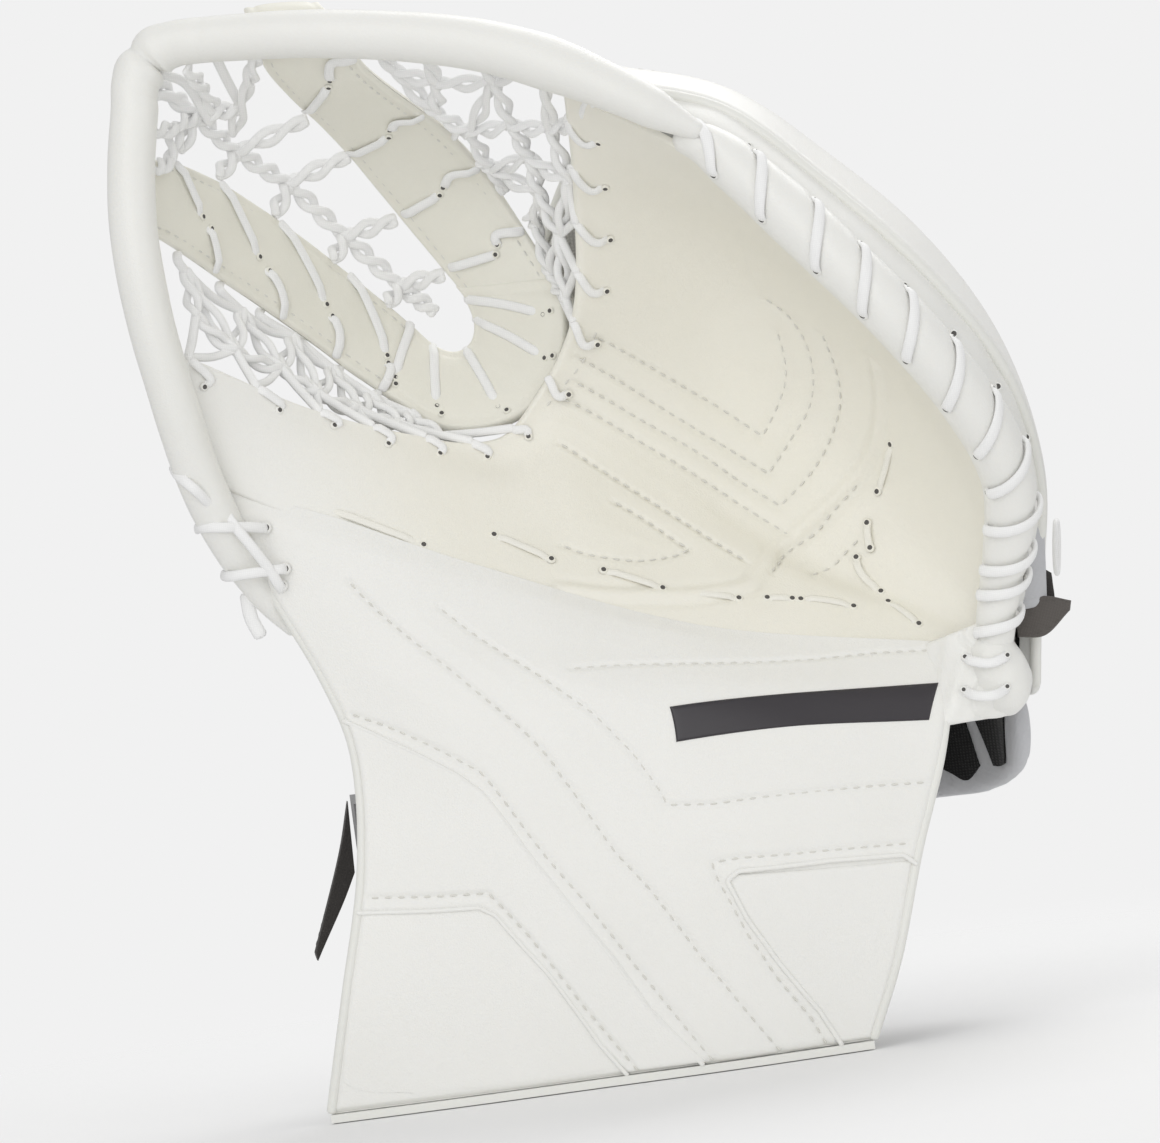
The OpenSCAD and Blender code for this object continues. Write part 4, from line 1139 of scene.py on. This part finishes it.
# Lace holes and the edges where laces leave, as (along, across) shares of the band
UPPER_HOLES = [(0.873, 0.48), (0.829, 0.47), (0.773, 0.48), (0.728, 0.38)]
LOWER_HOLES = [(0.094, 0.5), (0.140, 0.45), (0.20, 0.45), (0.284, 0.40)]
UPPER_IN = [(0.850, 0.97), (0.814, 0.96), (0.760, 0.93), (0.723, 0.9)]
UPPER_OUT = [(0.895, 0.02), (0.842, 0.02), (0.790, 0.02), (0.74, 0.02)]
LOWER_IN = [(0.077, 0.98), (0.122, 0.98), (0.168, 0.97), (0.225, 0.97)]
LOWER_OUT = [(0.10, 0.02), (0.152, 0.02), (0.215, 0.02), (0.30, 0.02)]
FAN = [(0.345, 0.24), (0.41, 0.22), (0.49, 0.17), (0.575, 0.14), (0.63, 0.2)]
FAN_IN = [(0.31, 0.98), (0.40, 0.98), (0.50, 0.98), (0.60, 0.98), (0.66, 0.98)]
# Three rows of knots in the lower net, from the band down to the palm
LOWER_TOP = [(-145, -41, 172), (-132, -20, 160), (-119, -4, 149), (-105, 8, 137), (-93, 11, 124),
             (-80, 13, 113)]
LOWER_ONE = [(-143, -37, 168), (-126, -12, 152), (-109, 4, 141), (-96, 9, 127), (-83, 9, 115),
             (-69, 9, 106)]
LOWER_TWO = [(-141, -44, 151), (-129, -34, 137), (-114, -16, 129), (-102, -13, 118),
             (-88, -5, 110), (-73, -2, 102), (-58, 3, 96)]
# Holes behind the palm's pocket edge and the points where their laces cross it
PALM_HOLES = [(0.03, 0.315), (0.102, 0.335), (0.16, 0.345), (0.222, 0.315), (0.287, 0.325),
              (0.355, 0.35), (0.435, 0.368), (0.508, 0.43), (0.526, 0.53), (0.526, 0.63),
              (0.529, 0.735), (0.529, 0.84), (0.53, 0.93)]
PALM_LIPS = [(0.015, 0.385), (0.08, 0.40), (0.145, 0.404), (0.205, 0.40), (0.27, 0.395),
             (0.335, 0.40), (0.405, 0.41), (0.478, 0.46), (0.499, 0.56), (0.499, 0.655),
             (0.50, 0.755), (0.50, 0.86), (0.50, 0.95)]
SEAM_LACES = [((0.15, 0.055), (0.255, 0.035)), ((0.352, 0.10), (0.43, 0.075)),
              ((0.505, 0.075), (0.588, 0.07)), ((0.63, 0.075), (0.708, 0.09)),
              ((0.755, 0.11), (0.80, 0.125)), ((0.815, 0.13), (0.885, 0.17)),
              ((0.808, 0.685), (0.824, 0.591)), ((0.845, 0.535), (0.872, 0.50)),
              ((0.875, 0.46), (0.915, 0.37)), ((0.92, 0.30), (0.94, 0.21))]
# Knots of the upper net, and the pairs of them that a twisted lace joins
UPPER_NODES = [(-56, -59, 230), (-41, -58, 223), (-20, -67, 220), (-43, -38, 214),
               (-32, -29, 206), (-16, -44, 205), (-2, -52, 201), (-26, -5, 193),
               (-11, -32, 193), (-9, -19, 180), (2, -36, 182), (-12, 6, 170), (-4, -11, 164),
               (-9, 10, 151), (-5, -2, 141), (7, -61, 202)]
UPPER_LINKS = [(0, 1), (1, 2), (0, 3), (1, 3), (3, 4), (2, 4), (2, 5), (4, 5), (5, 6), (4, 7),
               (5, 8), (7, 8), (8, 10), (7, 9), (8, 9), (9, 11), (9, 12), (10, 12), (11, 13),
               (12, 13), (12, 14), (13, 14), (6, 15), (6, 10)]
UPPER_EDGE = [((-48, -43, 219), 3), ((-38, -20, 206), 4), ((-30, -5, 196), 7),
              ((-22, 6, 184), 7), ((-15, 12, 174), 11), ((-11, 15, 160), 13)]
ROLL_TIES = [((-62, -77, 238), 0), ((-44, -80, 233), 1), ((-24, -84, 228), 2),
             ((-4, -88, 220), 2), ((-2, -84, 214), 6), ((14, -84, 207), 15)]
# Which lip hole of the palm each knot of the upper net is tied to
LIP_TIES = [(12, 15), (11, 10), (10, 10), (10, 12), (9, 12), (9, 14), (8, 14), (8, 13)]


def nets():
    """The middle, lower and upper nets, the laces on the bands and the lacing of the palm."""
    middle, holes, lower, upper = Piece(), Piece(), Piece(), Piece()
    for k in range(len(SPINE) - 1):
        twist(middle, SPINE[k], SPINE[k + 1], turns=1.5)
    for k, end in enumerate(UP_ENDS):
        twist(middle, SPINE[k + 1], end, turns=1.0 if k else 1.5)
    for k, end in enumerate(DOWN_ENDS):
        twist(middle, SPINE[k + 1], end, turns=0.75)
    for k, p in enumerate(SPINE[1:-1]):
        ball(middle, np.array(p, float), ((2.7, 0, 0), (0, 2.3, 0), (0, 0, 2.6)), 6, 10)
    for tie in CORNER_STRANDS:
        strand(middle, tie)
    for a, b, c in CORNER_TIES:
        twist(middle, a, b, turns=0.75, spread=1.5, size=1.6)
        twist(middle, b, c, turns=0.75, spread=1.5, size=1.6)
    for here, edge, away in ((UPPER_HOLES, UPPER_IN, UPPER_OUT),
                             (LOWER_HOLES, LOWER_IN, LOWER_OUT)):
        for h, i, o in zip(here, edge, away):
            on_surface(middle, band, [i, halfway(h, i), h], lift=2.2)
            on_surface(middle, band, [(h[0] + 0.004, h[1] - 0.06), (o[0], 0.25), o], lift=2.2)
    for h, i in zip(FAN, FAN_IN):
        on_surface(middle, band, [i, ((h[0] + i[0]) / 2, 0.6), h], lift=2.4)
    for u, v in UPPER_HOLES + LOWER_HOLES + FAN:
        p, n = band.at(u, v), band.normal(u, v)
        hole(holes, p + n * 1.3, n, 1.0)
        q = band.at(u + 0.006, v - 0.075)
        hole(holes, q + n * 1.3, n, 1.0)
    bend(middle.make("pocket_middle_lacing", "lace", body=None,
                     nodes=["net_middle_thumb", "net_middle_finger"]))
    bend(holes.make("band_lace_holes", "band", "hole", body=None))

    for a, b in zip(LOWER_TOP, LOWER_ONE):
        strand(lower, [np.array(a) + (0, 3, 3), a, b], size=1.8)
    for k, p in enumerate(LOWER_ONE):
        for q in LOWER_TWO[k:k + 2]:
            twist(lower, p, q, turns=0.8, sag=(0, 1, -1.2), spread=1.5, size=1.55)
        if k:
            last = LOWER_ONE[k - 1]
            strand(lower, [last, halfway(p, last) + (0, 1, -2.5), p], size=1.7)
    for k, p in enumerate(LOWER_TWO):
        lip = palm.at(*PALM_LIPS[k])
        strand(lower, [p, halfway(p, lip) + (0, 1.5, 0), lip + (0, -0.5, 0.6)], size=1.7)
        nxt = palm.at(*PALM_LIPS[max(0, k - 1)])
        strand(lower, [p, halfway(p, nxt) + (0, 2.5, -1), nxt + (0, -0.5, 0.6)], size=1.6)
    for a, b in zip(LOWER_TWO, LOWER_TWO[1:]):
        twist(lower, a, b, turns=0.8, sag=(0, 0.8, -1.5), spread=1.3, size=1.5)
    bend(lower.make("pocket_lower_lacing", "lace", body=None, nodes=["net_lower"]))

    for a, b in UPPER_LINKS:
        twist(upper, UPPER_NODES[a], UPPER_NODES[b], turns=0.9, sag=(0, 1.2, -0.8), spread=1.4,
              size=1.6)
    for p, k in UPPER_EDGE + ROLL_TIES:
        twist(upper, p, UPPER_NODES[k], turns=0.6, spread=1.3, size=1.6)
    for k, node in LIP_TIES:
        lip = palm.at(*PALM_LIPS[k]) + (0, -0.5, 0.5)
        p = UPPER_NODES[node]
        strand(upper, [p, halfway(p, lip) + (0, 2, 0), lip], size=1.7)
    bend(upper.make("pocket_upper_lacing", "lace", body=None, nodes=["net_upper"]))

    tie, seam, marks = Piece(), Piece(), Piece()
    for k, (h, lip) in enumerate(zip(PALM_HOLES, PALM_LIPS)):
        shift = (0.012, 0) if k < 7 else (0, -0.02)
        on_surface(tie, palm, [lip, halfway(h, lip) + shift, h], lift=2.3, size=1.7)
        n = palm.normal(*h)
        hole(marks, palm.at(*h) + n * 1.5, n, 1.05)
    for k, (a, b) in enumerate(SEAM_LACES):
        on_surface(seam, palm, [a, halfway(a, b), b], lift=1.7, size=1.5)
        for h in (a, b) if k else (b,):
            n = palm.normal(*h)
            hole(marks, palm.at(*h) + n * 1.1, n, 1.15)
    bend(tie.make("pocket_edge_lacing", "lace", body=None))
    bend(seam.make("palm_seam_lacing", "cream lace", body=None, nodes=["palm_seam_lace"]))
    bend(marks.make("palm_lace_holes", "palm", "hole", body=None))


band_part("lower_band_leather", "lower_band", 0, 6.2)
band_part("upper_band_leather", "upper_band", 11.4, 17)
band_part("pocket_junction_leather", "pocket_junction", 5.6, 12.0, lift=0.9)
band_trim()
nets()

# ---------------------------------------------------------------- the back of the glove


def back_part(name, surf, body, nodes, lines, counts, seed):
    """A padded shell: leather, thread, edge piping and the layers under it."""
    sewn = [surf.line(line, 0.8)[0] for line in lines]
    skin = Patch(surf, *WHOLE, *counts, round_over=3.0)
    height = quilting(skin.p, sewn, puff=1.1, reach=12) + 0.4 * waves(skin.p, 60, seed)
    piece = Piece()
    skin.put(piece, height - skin.drop(), -LEATHER)
    piece.make(name + "_leather_face", "white", body=body, nodes=[nodes[0]])
    thread = Piece()
    for line in lines:
        pts, nor = surf.line(line, 0.9, lift=-0.1)
        stitches(thread, pts, nor, pitch=4.7)
    thread.make(name + "_stitching", "thread", body=body)
    trim = Piece()
    long_sides = [[(u, v) for u in (0, 0.25, 0.5, 0.75, 1)] for v in (0, 1)]
    short_sides = [[(u, v) for v in (0, 0.5, 1)] for u in (0, 1)]
    for line in long_sides + short_sides:
        pts, nor = surf.line(line, 1.5, lift=-1.5)
        tube(trim, pts, 2.1, sides=12, ups=nor)
    trim.make(name + "_piping", "piping", body=body)
    depth = LEATHER
    for node, look, thick in zip(nodes[1:], ("foam", "board", "lining"),
                                 (BACK_FOAM, PLATE, LINING)):
        inset = 0.012 if look != "board" else 0.09
        layer = Patch(surf, [(inset, inset), (1 - inset, inset)],
                      [(inset, 1 - inset), (1 - inset, 1 - inset)], 46, 40, round_over=1.0)
        made = hidden_layer(layer, -depth - GAP, -depth - thick, node + "_layer", look, body,
                            [node])
        depth += thick


back_part("backhand", backhand, "fingers",
          ["backhand_leather", "backhand_foam", "backhand_plate", "backhand_lining"],
          [[(0.04, 0.22), (0.3, 0.24), (0.6, 0.24), (0.96, 0.2)],
           [(0.04, 0.5), (0.3, 0.52), (0.6, 0.52), (0.96, 0.5)],
           [(0.04, 0.76), (0.3, 0.78), (0.6, 0.78), (0.96, 0.76)],
           [(0.03, 0.96), (0.5, 0.96), (0.97, 0.96)]], (180, 120), 31)
back_part("thumb_back", thumb_back, "cuff",
          ["thumb_back_leather", "thumb_back_foam", "thumb_back_plate"],
          [[(0.04, 0.5), (0.3, 0.5), (0.6, 0.5), (0.96, 0.5)],
           [(0.03, 0.07), (0.5, 0.07), (0.97, 0.07)],
           [(0.03, 0.93), (0.5, 0.93), (0.97, 0.93)]], (130, 80), 33)


def sleeve(piece, a, b, big, small):
    """A finger stall: an open tube of knit lining, its wall closed by a ring at each end."""
    t = np.linspace(0, 1, 14)[:, None]
    a, b = np.array(a, float), np.array(b, float)
    pts = a + (b - a) * t
    size = big + (small - big) * t[:, 0]
    outer, inner = Piece(), Piece()
    sides = 24
    tube(outer, pts, size, sides=sides, caps=False)
    tube(inner, pts, size - 1.0, sides=sides, caps=False)
    o, i = outer.verts[0], inner.verts[0]
    n = len(o)
    faces = list(outer.faces) + [tuple(x + n for x in f[::-1]) for f in inner.faces]
    for k in (0, len(pts) - 1):
        for c in range(sides):
            d = (c + 1) % sides
            quad = (k * sides + c, k * sides + d, k * sides + d + n, k * sides + c + n)
            faces.append(quad[::-1] if k == 0 else quad)
    piece.add(np.concatenate([o, i]), faces)


stalls = Piece()
for a, b, tip in (((12, 44, 76), (26, 22, 148), 9.5), ((38, 47, 62), (58, 26, 140), 9.5),
                  ((60, 48, 48), (86, 24, 116), 9.5), ((80, 46, 34), (108, 22, 84), 9)):
    sleeve(stalls, a, b, 10.5, tip)
stalls.make("finger_stalls", "lining", body="fingers", nodes=["finger_sleeves"])
stall = Piece()
sleeve(stall, (-70, 12, 58), (-124, -8, 106), 10.5, 9.5)
stall.make("thumb_stall", "lining", body="cuff", nodes=["thumb_sleeve"])

# ---------------------------------------------------------------- straps, guard and pads


def ribbon(name, look, body, node, rows, thick, nu=40, nv=14, round_over=0.6, first=0.03):
    """A strap over rows of points, stitched along both edges."""
    surf = Surface(rows)
    part = Patch(surf, *WHOLE, nu, nv, round_over=round_over)
    from_edge = np.minimum(part.sides[2], part.sides[3])
    lift = 0.25 * np.exp(-((from_edge - 1.6) / 0.7) ** 2)
    piece = Piece()
    drop = part.drop() * 0.7
    part.put(piece, lift - drop, drop - thick)
    piece.make(name, look, body=body, nodes=[node] if node else [])
    thread = Piece()
    for v in (0.1, 0.9):
        pts, nor = surf.line([(first, v), (0.5, v), (0.97, v)], 0.8, lift=0.1)
        stitches(thread, pts, nor, pitch=3.4, size=2.2, thick=0.3)
    thread.make(name + "_stitching", look, body=body)


WRIST_ROUTE = [(96, -36), (96, 0), (72, 34), (30, 50), (-20, 52), (-66, 36), (-96, 4), (-104, -22)]
ribbon("wrist_strap_webbing", "dark strap", "cuff", "wrist_strap",
       [[(x, y, z) for x, y in WRIST_ROUTE] for z in (-73, -37)], 2.4, nu=120, nv=20)
ribbon("wrist_strap_tail_webbing", "dark strap", "wrist_strap_tail", "wrist_strap_tail",
       [[(-113, -0.6, -62), (-119.6, 0, -74), (-131.5, 1, -93)],
        [(-112, -4.6, -35), (-118.4, -3, -56), (-132, 0, -90)]], 2.4, first=0.2)
HAND_ROUTE = [(84, 88, 14), (106, 86, 16), (128, 76, 18), (146, 58, 19), (156, 40, 19)]
ribbon("backhand_strap_webbing", "grey strap", "fingers", "backhand_strap",
       [[(x, y, z + d) for x, y, z in HAND_ROUTE] for d in (11, -11)], 2.4, nu=70)
ribbon("hand_strap_tail_webbing", "grey strap", "hand_strap_tail", "hand_strap_tail",
       [[(144, -33, -8), (154, -35, -8.5), (164, -36.5, -0.5)],
        [(144, -33, 5), (155, -35, 6), (165, -36.5, 3)]], 2.4, first=0.3)
ribbon("hand_strap_inner_fold", "dark strap", "fingers", None,
       [[(148, -30, 2), (155, -29, 3), (160, -28, 5)],
        [(148, -30, 15), (155, -29, 17), (160, -28, 14)]], 2.2, nu=20)
ribbon("hand_strap_grey_column", "guard", "fingers", None,
       [[(145, -35, 2), (150, -35, 2), (156.5, -33, 3)],
        [(148, -40, 20), (153, -40, 20), (158, -38, 21)],
        [(150, -48, 44), (155, -48, 44), (159.5, -47, 44)]], 2.2, nu=30, nv=60)


def repaint(node, look):
    """Gives a CAD node that keeps its own shape one of the materials here."""
    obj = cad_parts[node]
    obj.data.materials.clear()
    obj.data.materials.append(M[look])


repaint("strap_loop", "plastic")
repaint("cuff_foot_binding", "piping")


def settle(obj, voxel=0.004, pressure=4.0, most=0.006, frames_run=20):
    """Swells a pad by cloth simulation, keeps the result and smooths it once."""
    scene = bpy.context.scene

    def applied():
        bpy.context.view_layer.update()
        graph = bpy.context.evaluated_depsgraph_get()
        return bpy.data.meshes.new_from_object(obj.evaluated_get(graph), depsgraph=graph)

    def swap(mesh):
        obj.modifiers.clear()
        obj.data = mesh

    remesh = obj.modifiers.new("remesh", "REMESH")
    remesh.mode, remesh.voxel_size, remesh.use_smooth_shade = "VOXEL", voxel, True
    swap(applied())
    start = np.array([v.co[:] for v in obj.data.vertices])
    cloth = obj.modifiers.new("cloth", "CLOTH")
    cloth.settings.use_pressure = True
    cloth.settings.uniform_pressure_force = pressure
    cloth.settings.effector_weights.gravity = 0
    cloth.point_cache.frame_start, cloth.point_cache.frame_end = 1, frames_run
    for frame_no in range(1, frames_run + 1):
        scene.frame_set(frame_no)
    mesh = applied()
    scene.frame_set(1)
    moved = np.array([v.co[:] for v in mesh.vertices]) - start
    far = np.linalg.norm(moved, axis=1, keepdims=True)
    mesh.vertices.foreach_set("co", (start + moved * np.minimum(1, most / np.maximum(far, 1e-9)))
                              .ravel())
    swap(mesh)
    obj.modifiers.new("smooth", "SUBSURF").levels = 1
    swap(applied())
    for face in obj.data.polygons:
        face.use_smooth = True


def heel():
    """The heel pad, the leather between it and the corner of the cuff, and their two laces."""
    path = curve([(133, -40, -7), (134, -39, -16), (136, -34, -26), (138, -28, -34)], 0.8)
    size = np.interp(np.linspace(0, 1, len(path)), np.linspace(0, 1, 8),
                     [7.5, 9.6, 11.2, 12.0, 12.0, 11.0, 8.4, 4.5])
    turn = np.linspace(0, math.tau, 36, endpoint=False)
    along = np.linspace(0, 1, len(path))[:, None]
    pleats = 1 + 0.035 * np.sin(7 * turn + 3 * along) * np.exp(-((along - 0.16) / 0.2) ** 2)
    piece = Piece()
    tube(piece, path, size, sides=36, ups=(0, -1, 0), shape=pleats)
    pad = piece.make("heel_roll_pad", "rim", body="fingers", nodes=["heel_roll"])
    settle(pad, voxel=0.003, pressure=3.0, most=0.0012)

    rows = []
    for v, far in ((0.60, (137, -36, -37)), (0.70, (136, -43, -27)), (0.81, (134, -45, -16)),
                   (0.91, (134, -44.5, -6)), (0.985, (134, -44, 1))):
        near_point = cuff.at(0.972, v) - cuff.normal(0.972, v) * 2.2
        far = np.array(far, float)
        rows.append([near_point, near_point * 0.55 + far * 0.45 + (0, -4.2, 0), far])
    gusset = Surface(rows)
    part = Patch(gusset, *WHOLE, 60, 80, round_over=1.6)
    folds = 0.7 * waves(part.p, 8, 41) + 0.5 * waves(part.p, 16, 42)
    folds -= 0.9 * np.exp(-((part.u - 0.72 + 0.1 * np.sin(9 * part.v)) / 0.04) ** 2)
    skin = Piece()
    part.put(skin, folds - part.drop(), -LEATHER)
    bend(skin.make("heel_gusset_leather", "rim", body=None))

    lace, marks = Piece(), Piece()
    for path in ([(122.5, -46, -12), (125, -50.5, -14), (131, -52.5, -15.5), (136, -51, -14.5),
                  (138, -48.5, -13.5)],
                 [(120.5, -45, -24), (124, -50, -26.5), (130, -52, -27.5), (134.5, -49.5, -26.5),
                  (136.5, -46.5, -25)]):
        strand(lace, path, size=1.9)
        for x, y, z in (path[0], path[-1]):
            hole(marks, np.array([x, y - 2.2, z]), (0.1, -1, 0.1), 0.9)
    bend(lace.make("heel_lacing", "lace", body=None))
    bend(marks.make("heel_lace_holes", "rim", "hole", body=None))


GUARD_THICK = 7.8


def guard():
    """The padded guard behind the heel, with two panels of black mesh on its inner face."""
    plan = [(147, -3), (142, 24), (124, 46), (99, 59)]
    surf = Surface([[(x, y, -67) for x, y in plan], [(x, y, -31) for x, y in plan]])
    foot = [(0.0, 0.74), (0.03, 0.52), (0.1, 0.36), (0.2, 0.24), (0.32, 0.14), (0.46, 0.05),
            (0.62, 0.0), (0.8, 0.0), (1.0, 0.0)]
    top = [(x, 1.0) for x in np.linspace(0, 1, 9)]
    part = Patch(surf, foot, top, 90, 44, round_over=3.9, smooth=True)
    piece = Piece()
    drop = part.drop()
    part.put(piece, 0.2 - drop, drop - GUARD_THICK)
    pad = piece.make("wrist_guard_padding", "guard", body="wrist_guard",
                     nodes=["wrist_guard_pad"])
    settle(pad, voxel=0.0022, pressure=2.0, most=0.0005)
    out = Piece()
    for low, high in (([(0.235, 0.32), (0.29, 0.30), (0.34, 0.29), (0.395, 0.30)],
                       [(0.09, 0.98), (0.23, 0.98), (0.38, 0.98), (0.53, 0.98)]),
                      ([(0.505, 0.31), (0.60, 0.17), (0.69, 0.25), (0.80, 0.37)],
                       [(0.585, 0.98), (0.69, 0.98), (0.80, 0.98), (0.90, 0.98)])):
        inner = Patch(surf, low, high, 30, 30, round_over=0.5, smooth=True)
        inner.put(out, -GUARD_THICK - 0.4, -GUARD_THICK - 1.1)
    out.make("wrist_guard_mesh_panels", "mesh", body="wrist_guard", nodes=["wrist_guard_mesh"])


def wrist_cushion():
    """The cushion on the inside of the cuff, over the wrist."""
    depth = 11.9
    part = Patch(cuff, [(0.25, 0.5), (0.8, 0.5)], [(0.3, 0.88), (0.84, 0.88)], 90, 60,
                 round_over=2.6)
    piece = Piece()
    drop = part.drop()
    bulge = 1.2 * (1 - np.exp(-(np.min(part.sides, axis=0) / 14) ** 2))
    part.put(piece, -depth - drop * 0.4, -depth - 4.9 - bulge + drop)
    pad = piece.make("wrist_pad_cushion", "lining", body="cuff", nodes=["wrist_pad"])
    settle(pad, voxel=0.004, pressure=4.0, most=0.003)


def thumb_ties():
    """Laces that tie the foot of the thumb roll to the cuff."""
    lace, marks = Piece(), Piece()
    for path in ([(-157, -42, 97), (-154.5, -56, 93), (-149, -61, 87), (-143, -52, 79),
                  (-140, -46, 76), (-139, -42, 75)],
                 [(-152, -36, 73), (-149, -50, 73), (-141, -54, 72), (-132, -49, 71),
                  (-127, -44, 70), (-126, -38, 70)],
                 [(-145, -30, 55), (-142, -44, 54), (-134, -48, 54), (-127, -46, 54),
                  (-122, -44, 54), (-121, -38, 54)],
                 [(-142, -46, 83), (-138, -52, 74), (-132, -51, 64), (-127, -47, 55),
                  (-124, -43, 48), (-123, -38, 46)]):
        strand(lace, path, size=2.0)
        x, y, z = path[-2]
        hole(marks, np.array([x + 0.8, y + 2.0, z]), (0.15, -1, 0.1), 1.5)
    strand(lace, [(-137, -33, 46), (-136.5, -33, 38), (-134, -33, 31)], size=2.7)
    lace.make("thumb_roll_lacing", "lace", body="cuff", nodes=["thumb_lace"])
    marks.make("thumb_roll_lace_holes", "white", "hole", body="cuff")


def side_wall():
    """The leather that closes the gap between the finger roll and the edge of the shell."""
    share = np.linspace(0, 1, 12)
    roll = spline(FINGER_ROLL, 0.005 + 0.93 * share)
    edge_at = 0.06 + 0.84 * share
    shell = backhand.at(edge_at, 0.01) - backhand.normal(edge_at, 0.01) * 1.8
    wall = Surface([roll + (0, 3, 0), roll * 0.5 + shell * 0.5 + (0, -3, 0), shell])
    part = Patch(wall, *WHOLE, 160, 16, round_over=0.8)
    piece = Piece()
    part.put(piece, 0.7 - part.drop() * 0.5 + 0.3 * waves(part.p, 18, 51), -0.8)
    piece.make("finger_side_wall_leather", "rim", body="fingers")
    marks = Piece()
    for w in WRAPS[1:9]:
        centre = spline(FINGER_ROLL, [w - 0.012])[0]
        across = np.linspace(0, 1, 120)
        seen = wall.at(np.full(120, (w - 0.017) / 0.93), across)
        clear = np.linalg.norm((seen - centre)[:, (0, 2)], axis=1) > 12.6
        if clear.any():
            k = int(np.argmax(clear))
            hole(marks, seen[k] + (0, -0.9, 0), (0.2, -1, 0.2), 1.2)
    marks.make("finger_edge_outer_holes", "rim", "hole", body="fingers")


def keeper_loop():
    """The lace loop that stands up behind the grey column."""
    turn = np.linspace(0, math.tau, 49)
    ring = np.stack([165.5 + 1.1 * np.cos(turn) + 1.2 * np.sin(turn), 2 + 6.5 * np.cos(turn),
                     23 + 9.5 * np.sin(turn)], 1)
    loop = Piece()
    tube(loop, ring, 1.4, sides=10, flat=0.8, ups=(1, 0, 0), caps=False)
    loop.make("strap_keeper_loop", "lace", body="fingers", nodes=["strap_keeper"])


heel()
guard()
side_wall()
keeper_loop()
wrist_cushion()
thumb_ties()
